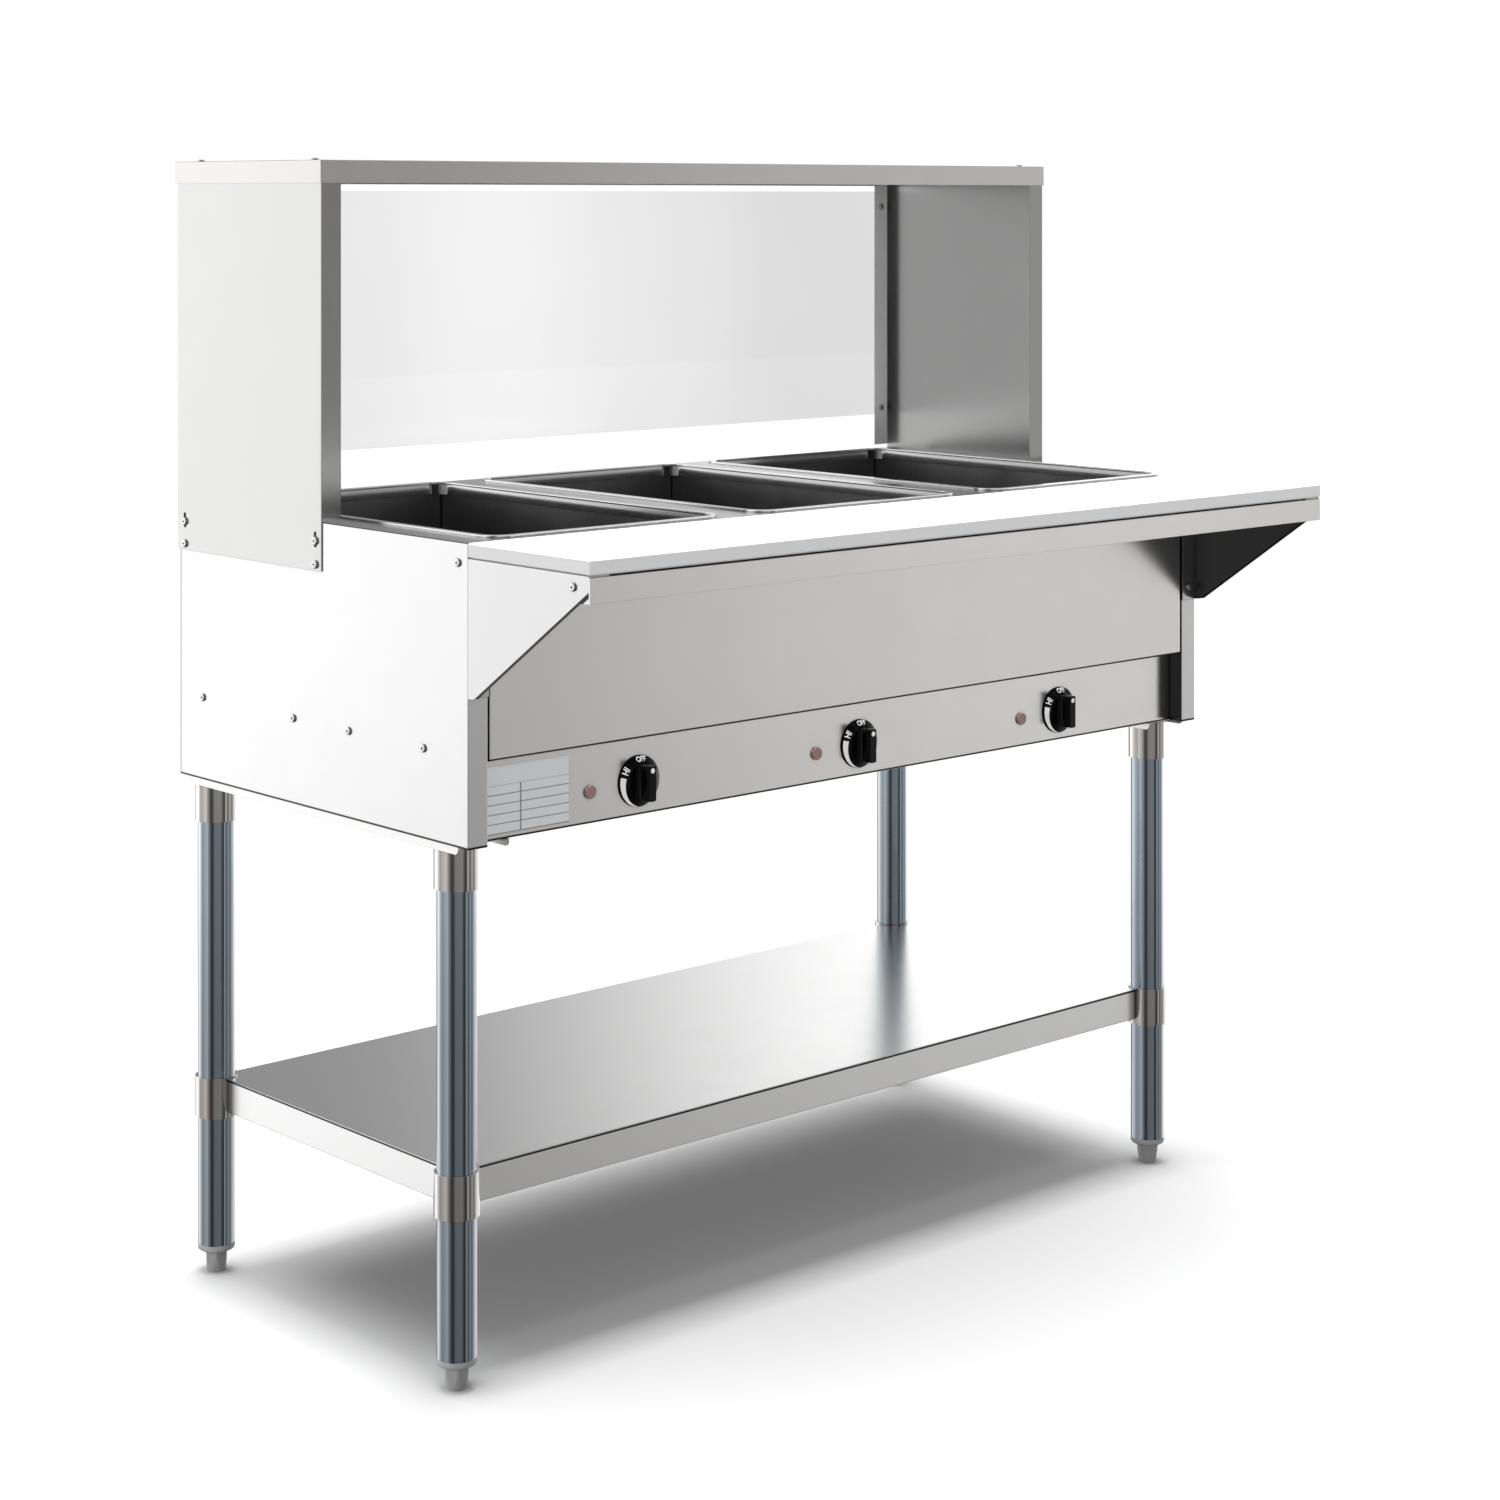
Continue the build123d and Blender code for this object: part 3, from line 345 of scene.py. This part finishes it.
def liner_metal():
    """Dull rolled sheet: a fine upright grain, and a dark line of painted shade along each upright folded corner."""
    g = Graph("well_steel")
    low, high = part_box("centre_well_liner")
    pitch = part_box("right_well_liner")[0].x - low.x
    streaks = g.noise((900.0, 900.0, 3.0), 2.0)
    smears = g.noise((14.0, 14.0, 14.0), 4.0)
    along_x = wrapped(g, g.axis(0), pitch)
    lip = (high.x - low.x) / 2 - 0.0112
    side = g.math("GREATER_THAN", along_x, lip - 0.0012)
    depth = g.math("ABSOLUTE", g.math("SUBTRACT", g.axis(1), (low.y + high.y) / 2))
    end = g.math("GREATER_THAN", depth, (high.y - low.y) / 2 - 0.0112 - 0.0012)
    corner_shade = g.math("MULTIPLY", side, end)
    base = g.mix_colour(g.remap(streaks, 0.3, 0.7, 0.0, 1.0), (0.31, 0.315, 0.315), (0.34, 0.345, 0.345))
    # Painted shade: a dark line along each upright corner.
    base = g.mix_colour(corner_shade, base, (0.02, 0.02, 0.02))
    roughness = g.math("ADD", g.remap(streaks, 0.3, 0.7, 0.30, 0.36), g.remap(smears, 0.3, 0.7, -0.03, 0.05))
    return g.surface(Base_Color=base, Metallic=1.0, Roughness=roughness,
                     Normal=g.bump(streaks, 0.03, 0.0002))


def wrapped(g, value, pitch):
    """The distance from the nearest whole multiple of a pitch."""
    node = g.add("ShaderNodeMath", operation="PINGPONG")
    g.plug(value, node.inputs[0])
    node.inputs[1].default_value = pitch / 2
    return node.outputs[0]


def insulation_felt():
    g = Graph("insulation_felt")
    fibres = g.noise((700.0, 700.0, 200.0), 5.0, 0.7)
    base = g.mix_colour(g.remap(fibres, 0.3, 0.7, 0.0, 1.0), (0.55, 0.50, 0.33), (0.78, 0.74, 0.58))
    return g.surface(Base_Color=base, Roughness=g.remap(fibres, 0.3, 0.7, 0.85, 1.0),
                     Normal=g.bump(fibres, 0.8, 0.002))


def label_film():
    """A plain foil label with a generic ruled form and no lettering."""
    g = Graph("label_film")
    low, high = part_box("rating_label")
    across = g.remap(g.axis(0), low.x, high.x, 0.0, 1.0)
    up = g.remap(g.axis(2), low.z, high.z, 0.0, 1.0)
    fine = g.noise((500.0, 500.0, 500.0), 2.0)
    rows = g.math("LESS_THAN", g.math("FRACT", g.math("MULTIPLY", up, 7.0)), 0.10)
    column = g.math("LESS_THAN", g.math("ABSOLUTE", g.math("SUBTRACT", across, 0.45)), 0.008)
    lower = g.math("LESS_THAN", up, 0.72)
    ink = g.math("MULTIPLY", g.math("MAXIMUM", rows, column), lower)
    base = g.mix_colour(g.math("MULTIPLY", ink, 0.8), (0.86, 0.875, 0.89), (0.14, 0.15, 0.16))
    return g.surface(Base_Color=base, Metallic=0.45, Roughness=g.remap(fine, 0.3, 0.7, 0.3, 0.42),
                     Normal=g.bump(fine, 0.05, 0.0002))


def glowing_white_ink():
    g = Graph("glowing_white_ink")
    fine = g.noise((1500.0, 1500.0, 1500.0), 2.0)
    base = g.mix_colour(fine, (0.82, 0.82, 0.82), (0.93, 0.93, 0.93))
    # Painted light: the ink glows a little, though it is no lamp.
    return g.surface(Base_Color=base, Emission_Color=base, Emission_Strength=0.35, Roughness=g.remap(fine, 0.3, 0.7, 0.35, 0.5),
                     Normal=g.bump(fine, 0.1, 0.0001))


# ---------------------------------------------------------------- materials by node
def paint(names, material):
    for name in names:
        node = NODES[name]
        node.data.materials.clear()
        node.data.materials.append(material)


WELLS = ("left", "centre", "right")
CORNERS = ("front_left", "front_right", "rear_left", "rear_right")


def outer_x(node):
    """How far out the node's skin stands from the middle of the server."""
    low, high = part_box(node)
    return max(abs(low.x), abs(high.x))


UP = (0.0, 0.0, 1.0)
BACK = (0.0, 1.0, 0.0)


def bracket_slope():
    """The line along the folded, sloping lower edge of a board bracket, where a dark line of painted shade runs."""
    low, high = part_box("left_board_bracket")
    toe = Vector((0.0, low.y + 0.0135, high.z - 0.0273))
    heel = Vector((0.0, high.y - 0.016, low.z + 0.002))
    along = (heel - toe).normalized()
    across = (0.0, -along.z, along.y)
    return across, toe.dot(Vector(across)), 0.0028


def dress_body():
    low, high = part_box("left_side_panel")
    # Painted shade: the side panels' inward faces at 0.12 of the skin's colour, and dark painted shade lines along
    # their folds.
    side = brushed_metal("stainless_side", (0.64, 0.64, 0.64), 0.24, "y",
                         outer=outer_x("right_side_panel"), inner_shade=0.12, sides_only=True,
                         shade_lines=[(UP, low.z, 0.0028), (BACK, high.y, 0.0016), (UP, high.z, 0.0012)])
    # Painted shade: the brackets' inward faces at 0.20 of the skin's colour, and a dark painted shade line along the
    # slope.
    bracket = brushed_metal("stainless_bracket", (0.57, 0.57, 0.57), 0.22, "y",
                            outer=outer_x("right_board_bracket"), inner_shade=0.20, sides_only=True,
                            shade_lines=[bracket_slope()])
    # Painted shade: a dark line along the apron's lower fold.
    front = brushed_metal("stainless_front", (0.76, 0.745, 0.735), 0.24, "x",
                          shade_lines=[(UP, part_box("front_apron")[0].z, 0.0028)])
    # Painted shade: a dark line along the control panel's lower edge.
    panel = brushed_metal("stainless_panel", (0.76, 0.75, 0.74), 0.22, "x",
                          shade_lines=[(UP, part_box("control_panel")[0].z, 0.0028)])
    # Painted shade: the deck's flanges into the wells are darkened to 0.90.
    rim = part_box("deck")[1].z
    # Painted highlight: a near-white line along the top of the rim.
    top = brushed_metal("stainless_deck", (0.56, 0.56, 0.555), 0.22, "x", 0.003, spread=0.004,
                        rolled=(rim - 0.0145, rim - 0.0026, 0.90), bead_highlight=rim - 0.0023)
    back = brushed_metal("stainless_back", (0.76, 0.76, 0.755), 0.28, "x")
    paint(("left_side_panel", "right_side_panel"), side)
    paint(("left_board_bracket", "right_board_bracket"), bracket)
    paint(("back_panel",), back)
    paint(("front_apron", "board_rail"), front)
    paint(("control_panel", "bottom_cover", "well_support_shelf"), panel)
    paint(("deck",), top)
    paint(("rating_label",), label_film())
    paint(("cutting_board",), polyethylene())


def dress_overshelf():
    # Painted shade: the posts' faces inside the skin at 0.64 of its colour; the rear flange is painted lighter as
    # painted light.
    post = brushed_metal("stainless_post", (0.51, 0.51, 0.505), 0.24, "z",
                         outer=outer_x("right_post"), inner_shade=0.64,
                         open_and_lit_flange=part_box("right_post")[1].y - 0.002, crevice_shade_reach=0.0)
    top = brushed_metal("stainless_overshelf", (0.55, 0.536, 0.522), 0.22, "x")
    paint(("left_post", "right_post"), post)
    paint(("overshelf",), top)
    paint(("guard_pane",), clear_guard())


def dress_wells():
    liner = liner_metal()
    sheath = brushed_metal("element_sheath", (0.24, 0.22, 0.20), 0.45, "x", 0.1)
    paint([f"{w}_well_liner" for w in WELLS], liner)
    paint([f"{w}_heating_element" for w in WELLS] + ["element_supports"], sheath)
    paint(("well_insulation",), insulation_felt())


def dress_undercarriage():
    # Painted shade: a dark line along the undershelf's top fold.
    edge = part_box("undershelf")[1].z - 0.0017
    shelf = brushed_metal("stainless_undershelf", (0.80, 0.80, 0.795), 0.24, "x", shade_lines=[(UP, edge, 0.0013)])
    # Painted sheen: the turned parts turn lighter towards their silhouettes.
    turned = brushed_metal("turned_stainless", (0.38, 0.365, 0.35), 0.03, "z", 0.003, 0.0003, 0.003,
                           edge=(0.86, 0.85, 0.84))
    plated = brushed_metal("plated_steel", (0.72, 0.72, 0.71), 0.28, "x", 0.05)
    paint(("undershelf",), shelf)
    paint(("leg_sockets", "undershelf_collars"), turned)
    paint(("left_leg_channel", "right_leg_channel"), plated)
    paint([f"{c}_leg" for c in CORNERS], leg_metal())
    feet = plastic("grey_plastic", (0.46, 0.46, 0.465), 0.42)
    paint([f"{c}_foot" for c in CORNERS] + ["foot_inserts"], feet)


def dress_hardware():
    screw = brushed_metal("screw_steel", (0.70, 0.70, 0.69), 0.24, "z", 0.05, 0.0003)
    paint(("channel_bolts", "socket_screws", "collar_screws", "panel_screws", "bracket_screws",
           "overshelf_screws", "pane_nuts"), screw)
    paint([f"{w}_switch_shaft" for w in WELLS], screw)


def dress_electrics():
    black = plastic("black_knob", (0.003, 0.003, 0.0035), 0.16, 200.0, 0.02, 0.14)
    moulding = plastic("black_moulding", (0.03, 0.03, 0.032), 0.42)
    rubber = plastic("cord_rubber", (0.022, 0.022, 0.024), 0.55, 400.0, 0.25)
    paint([f"{w}_knob" for w in WELLS], black)
    paint(("heat_switches", "terminal_block", "cord_grip", "pilot_bodies"), moulding)
    paint(("wiring_harness", "power_cord", "power_plug"), rubber)
    paint(("pilot_lenses",), pilot_amber())


# ---------------------------------------------------------------- dial marks
KNOB_RADIUS = 0.027
HUB_RADIUS = 0.019
SKIRT_HEIGHT = 0.0012
SLOPE_HEIGHT = 0.0053
KNOB_HEIGHT = 0.0227
INK = 0.00008


def dial_frame(well):
    """The dial's centre, on its back face, and a function from (radius, angle, height) to a point.
    The angle runs counter-clockwise from the top as seen from the front."""
    low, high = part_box(f"{well}_knob")
    centre = Vector(((low.x + high.x) / 2, high.y, (low.z + high.z) / 2))

    def place(radius, angle, height):
        return centre + Vector((-radius * math.sin(angle), -height, radius * math.cos(angle)))
    return centre, place


def slope_height(radius):
    """Height of the sloping face above the knob's back at a radius."""
    return SKIRT_HEIGHT + SLOPE_HEIGHT * (KNOB_RADIUS - radius) / (KNOB_RADIUS - HUB_RADIUS)


def skin(name, rows, closed_ends=True):
    """A thin mesh from rows of points; each row is a list of the same length."""
    mesh = bpy.data.meshes.new(name)
    count = len(rows[0])
    points = [tuple(p) for row in rows for p in row]
    faces = []
    for r in range(len(rows) - 1):
        for c in range(count - 1):
            a = r * count + c
            faces.append((a, a + 1, a + count + 1, a + count))
    mesh.from_pydata(points, [], faces)
    mesh.update()
    return mesh


def add_piece(name, mesh, body, material):
    piece = bpy.data.objects.new(name, mesh)
    bpy.context.scene.collection.objects.link(piece)
    mesh.materials.append(material)
    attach(piece, body)
    return piece


def solidify(piece, thickness, offset=1.0):
    modifier = piece.modifiers.new("ink", "SOLIDIFY")
    modifier.thickness = thickness
    modifier.offset = offset
    return modifier


def heat_band(well, material):
    """The printed heat band on the sloping face: widest near the high setting, then tapering away."""
    centre, place = dial_frame(well)
    start, end, steps = math.radians(76), math.radians(174), 44
    rows = []
    for i in range(steps + 1):
        share = i / steps
        angle = start + (end - start) * share
        outer = 0.0267
        inner = outer - 0.0001 - 0.0050 * (1.0 - share ** 1.5)
        rows.append([place(r, angle, slope_height(r) + INK) for r in (inner, (inner + outer) / 2, outer)])
    piece = add_piece(f"{well}_heat_band", skin(f"{well}_heat_band", rows), f"{well}_dial", material)
    solidify(piece, INK)


def pointer_dot(well, material):
    """The round white mark on the front of the grip."""
    centre, place = dial_frame(well)
    mesh = bpy.data.meshes.new(f"{well}_pointer_dot")
    bm = bmesh.new()
    bmesh.ops.create_circle(bm, cap_ends=True, segments=32, radius=0.0027)
    for vertex in bm.verts:
        x, y = vertex.co.x, vertex.co.y
        vertex.co = centre + Vector((x, -KNOB_HEIGHT - INK, 0.0137 + y))
    bm.to_mesh(mesh)
    bm.free()
    piece = add_piece(f"{well}_pointer_dot", mesh, f"{well}_dial", material)
    solidify(piece, INK, 0.0)


def dial_word(well, word, angle_deg, size, material):
    """A short generic setting, printed on the sloping face with each letter facing the dial's centre."""
    centre, place = dial_frame(well)
    curve = bpy.data.curves.new(f"{well}_{word}_curve", "FONT")
    curve.body = word
    curve.size = size
    curve.align_x = "CENTER"
    curve.align_y = "CENTER"
    curve.resolution_u = 3
    curve.offset = size * 0.025
    maker = bpy.data.objects.new(f"{well}_{word}_maker", curve)
    bpy.context.scene.collection.objects.link(maker)
    mesh = bpy.data.meshes.new_from_object(maker.evaluated_get(bpy.context.evaluated_depsgraph_get()))
    bpy.data.objects.remove(maker)
    middle = 0.0236
    turn = math.radians(angle_deg)
    for vertex in mesh.vertices:
        radius = middle + vertex.co.y
        angle = turn - vertex.co.x / middle
        vertex.co = place(radius, angle, slope_height(radius) + INK)
    mesh.name = f"{well}_{word}"
    piece = add_piece(f"{well}_mark_{word.lower()}", mesh, f"{well}_dial", material)
    solidify(piece, INK, 0.0)


def mark_dials():
    ink = glowing_white_ink()
    for well in WELLS:
        heat_band(well, ink)
        pointer_dot(well, ink)
        dial_word(well, "OFF", 0, 0.0072, ink)
        dial_word(well, "HI", 58, 0.0082, ink)


# ---------------------------------------------------------------- studio
CAMERA_AT = Vector((-2.3582, -2.5978, 1.2094))
CAMERA_TURN = math.radians(42.05)
CAMERA_LENS = 72.18
CAMERA_RISE = -0.3691
CAMERA_SIDE = -0.00147


def place_camera():
    """A level camera with a falling lens shift. The shift only holds while the camera stands here."""
    data = bpy.data.cameras.new("camera")
    camera = bpy.data.objects.new("camera", data)
    bpy.context.scene.collection.objects.link(camera)
    camera.location = CAMERA_AT
    camera.rotation_euler = (math.radians(90), 0, -CAMERA_TURN)
    data.sensor_width = 36.0
    data.lens = CAMERA_LENS
    data.clip_start, data.clip_end = 0.05, 60.0
    for channel, amount in (("shift_x", CAMERA_SIDE), ("shift_y", CAMERA_RISE)):
        hold_shift(camera, channel, amount)
    bpy.context.scene.camera = camera


def hold_shift(camera, channel, amount):
    """Drives a lens shift from the camera's place: a curve that is zero but for a narrow step here."""
    curve = camera.data.driver_add(channel)
    curve.driver.type = "AVERAGE"
    variable = curve.driver.variables.new()
    variable.type = "TRANSFORMS"
    variable.targets[0].id = camera
    variable.targets[0].transform_type = "LOC_X"
    for modifier in list(curve.modifiers):
        curve.modifiers.remove(modifier)
    for offset, level in ((-0.04, 0.0), (-0.02, amount), (0.02, amount), (0.04, 0.0)):
        point = curve.keyframe_points.insert(CAMERA_AT.x + offset, level)
        point.interpolation = "LINEAR"
    curve.extrapolation = "CONSTANT"


def ramp_over(tree, factor, stops, gain):
    """A smooth ramp of greys over 0 to 1. Each stop is (position, brightness, warmth)."""
    ramp = tree.nodes.new("ShaderNodeValToRGB")
    ramp.color_ramp.interpolation = "EASE"
    tree.links.new(factor, ramp.inputs[0])
    elements = ramp.color_ramp.elements
    elements.remove(elements[1])
    for i, (position, brightness, warmth) in enumerate(stops):
        element = elements[0] if i == 0 else elements.new(position)
        element.position = position
        level = brightness / gain
        element.color = (level * (1 + warmth), level, level * (1 - warmth), 1.0)
    return ramp.outputs[0]


SURROUND = (
    (0, 1.35, 0.0), (8, 0.40, 0.0), (20, 0.32, 0.0), (34, 0.32, 0.0), (47, 1.45, 0.0), (70, 1.35, 0.0),
    (92, 1.30, 0.0), (107, 1.20, 0.0), (120, 0.50, 0.01), (131, 0.92, 0.01), (138, 0.80, 0.01),
    (145, 0.34, 0.02), (150, 0.42, 0.01), (154, 0.70, 0.01), (159, 1.20, 0.0), (166, 0.14, 0.0),
    (177, 0.18, 0.0), (188, 0.56, 0.0), (206, 0.54, 0.0), (222, 0.52, 0.0), (233, 0.16, 0.0),
    (244, 0.14, 0.0), (256, 0.60, 0.0), (272, 1.50, 0.0), (290, 1.25, 0.0), (304, 1.00, 0.0),
    (314, 1.28, 0.0), (322, 1.50, 0.0), (332, 1.88, 0.0), (342, 1.80, 0.0), (352, 1.50, 0.0),
)
RISE = ((0.0, 0.20, 0.0), (0.20, 0.30, 0.0), (0.27, 0.42, 0.0), (0.31, 0.60, 0.0), (0.36, 0.72, 0.0),
        (0.41, 1.0, 0.0), (0.68, 1.0, 0.0), (0.72, 0.70, 0.0), (1.0, 0.85, 0.0))
SURROUND_GAIN = 5.0


def build_world():
    """White for the camera, a soft ambient fill for matt surfaces, and for reflections a studio
    whose brightness depends on the compass direction: degrees clockwise from straight back."""
    world = bpy.data.worlds.new("studio")
    bpy.context.scene.world = world
    world.use_nodes = True
    tree = world.node_tree
    tree.nodes.clear()
    new, link = tree.nodes.new, tree.links.new
    split = new("ShaderNodeSeparateXYZ")
    link(new("ShaderNodeTexCoord").outputs["Generated"], split.inputs[0])
    turn = new("ShaderNodeMath")
    turn.operation = "ARCTAN2"
    link(split.outputs[0], turn.inputs[0])
    link(split.outputs[1], turn.inputs[1])
    share = new("ShaderNodeMath")
    share.operation = "MULTIPLY"
    link(turn.outputs[0], share.inputs[0])
    share.inputs[1].default_value = 0.5 / math.pi
    wrapped = new("ShaderNodeMath")
    wrapped.operation = "FRACT"
    link(share.outputs[0], wrapped.inputs[0])
    around = [(degrees / 360.0, level, warmth) for degrees, level, warmth in SURROUND]
    height = new("ShaderNodeMath")
    height.operation = "MULTIPLY_ADD"
    link(split.outputs[2], height.inputs[0])
    height.inputs[1].default_value = 0.5
    height.inputs[2].default_value = 0.5
    both = new("ShaderNodeMix")
    both.data_type = "RGBA"
    both.blend_type = "MULTIPLY"
    both.inputs[0].default_value = 1.0
    link(ramp_over(tree, wrapped.outputs[0], around, SURROUND_GAIN), both.inputs[6])
    link(ramp_over(tree, height.outputs[0], RISE, 1.0), both.inputs[7])
    reflected = new("ShaderNodeBackground")
    link(both.outputs[2], reflected.inputs["Color"])
    reflected.inputs["Strength"].default_value = SURROUND_GAIN
    fill = new("ShaderNodeBackground")
    fill.inputs["Color"].default_value = (0.97, 0.98, 1.0, 1.0)
    fill.inputs["Strength"].default_value = 0.40
    white = new("ShaderNodeBackground")
    white.inputs["Color"].default_value = (1.0, 1.0, 1.0, 1.0)
    white.inputs["Strength"].default_value = 1.02
    path = new("ShaderNodeLightPath")
    indirect = new("ShaderNodeMixShader")
    link(path.outputs["Is Glossy Ray"], indirect.inputs[0])
    link(fill.outputs[0], indirect.inputs[1])
    link(reflected.outputs[0], indirect.inputs[2])
    seen = new("ShaderNodeMixShader")
    link(path.outputs["Is Camera Ray"], seen.inputs[0])
    link(indirect.outputs[0], seen.inputs[1])
    link(white.outputs[0], seen.inputs[2])
    output = new("ShaderNodeOutputWorld")
    link(seen.outputs[0], output.inputs["Surface"])


def area_light(name, at, towards, size_x, size_y, power, colour=(1, 1, 1), glossy=True):
    data = bpy.data.lights.new(name, "AREA")
    data.shape = "RECTANGLE"
    data.size, data.size_y = size_x, size_y
    data.energy = power
    data.color = colour
    light = bpy.data.objects.new(name, data)
    bpy.context.scene.collection.objects.link(light)
    light.location = at
    light.rotation_euler = (Vector(towards) - Vector(at)).to_track_quat("-Z", "Y").to_euler()
    light.visible_camera = False
    light.visible_glossy = glossy
    return light


def only_shadowed_by(light, names):
    """The light passes everything except these nodes."""
    blockers = bpy.data.collections.new(f"{light.name}_blockers")
    for name in names:
        blockers.objects.link(NODES[name])
    light.light_linking.blocker_collection = blockers


def only_lighting(light, names):
    """The light reaches only these nodes."""
    lit = bpy.data.collections.new(f"{light.name}_lit")
    for name in names:
        lit.objects.link(NODES[name])
    light.light_linking.receiver_collection = lit


def build_lights():
    """A broad soft overhead light, a tighter one that draws the undershelf's shadow, and two soft
    fills for the matt parts: one from the left, and a closer one from the right of the front."""
    area_light("soft_overhead", (-0.2, 0.4, 3.8), (0.0, 0.0, 0.0), 4.4, 4.4, 185.0, glossy=False)
    matt = ["cutting_board", "rating_label", "pilot_lenses", "foot_inserts"]
    matt += [f"{corner}_foot" for corner in CORNERS]
    left = area_light("left_fill", (-4.5, 0.3, 1.5), (0.0, 0.0, 0.6), 2.5, 2.5, 60.0, glossy=False)
    only_lighting(left, matt)
    front = area_light("front_fill", (0.9, -3.2, 1.0), (0.0, -0.3, 0.7), 1.6, 1.6, 24.0, glossy=False)
    only_lighting(front, ["cutting_board", "rating_label"])
    key = area_light("key_overhead", (-0.05, 0.15, 4.2), (-0.05, 0.15, 0.0), 1.6, 1.6, 108.0, glossy=False)
    low_parts = ["undershelf", "undershelf_collars", "leg_sockets", "foot_inserts"]
    low_parts += [f"{corner}_{part}" for corner in CORNERS for part in ("leg", "foot")]
    only_shadowed_by(key, low_parts)


def rest_on_feet(floor):
    """Keeps the floor under the lowest foot, however far a foot is screwed down."""
    driver = floor.driver_add("location", 2).driver
    driver.type = "MIN"
    for corner in CORNERS:
        variable = driver.variables.new()
        variable.name = corner
        variable.type = "TRANSFORMS"
        target = variable.targets[0]
        target.id = NODES[f"{corner}_foot"]
        target.transform_type = "LOC_Z"
        target.transform_space = "WORLD_SPACE"


def build_floor():
    """A large pale floor that, away from the object, glows white for the camera to run into the white surround."""
    mesh = bpy.data.meshes.new("floor")
    half = 14.0
    mesh.from_pydata([(-half, -half, 0), (half, -half, 0), (half, half, 0), (-half, half, 0)], [], [(0, 1, 2, 3)])
    floor = bpy.data.objects.new("floor", mesh)
    bpy.context.scene.collection.objects.link(floor)
    floor.visible_glossy = False
    rest_on_feet(floor)
    g = Graph("studio_floor")
    clouds = g.noise((0.6, 0.6, 0.6), 2.0)
    base = g.mix_colour(clouds, (0.80, 0.80, 0.80), (0.82, 0.82, 0.82))
    path = g.add("ShaderNodeLightPath")
    darker = g.mix_colour(path.outputs["Is Camera Ray"], (0.30, 0.30, 0.30), base)
    diffuse = g.add("ShaderNodeBsdfDiffuse")
    g.plug(darker, diffuse.inputs["Color"])
    distance = g.add("ShaderNodeVectorMath", operation="LENGTH")
    g.plug(g.object_space, distance.inputs[0])
    away = g.remap(distance.outputs["Value"], 0.9, 1.6, 0.0, 1.0)
    glow = g.add("ShaderNodeEmission")
    glow.inputs["Strength"].default_value = 1.05
    seen = g.math("MULTIPLY", away, path.outputs["Is Camera Ray"])
    mix = g.add("ShaderNodeMixShader")
    g.plug(seen, mix.inputs[0])
    g.plug(diffuse.outputs[0], mix.inputs[1])
    g.plug(glow.outputs[0], mix.inputs[2])
    g.plug(mix.outputs[0], g.output.inputs["Surface"])
    mesh.materials.append(g.material)


def set_colour():
    settings = bpy.context.scene.view_settings
    settings.view_transform = "Standard"
    settings.look = "None"
    settings.exposure = 0.0


dress_body()
dress_overshelf()
dress_wells()
dress_undercarriage()
dress_hardware()
dress_electrics()
mark_dials()
place_camera()
build_world()
build_lights()
build_floor()
set_colour()
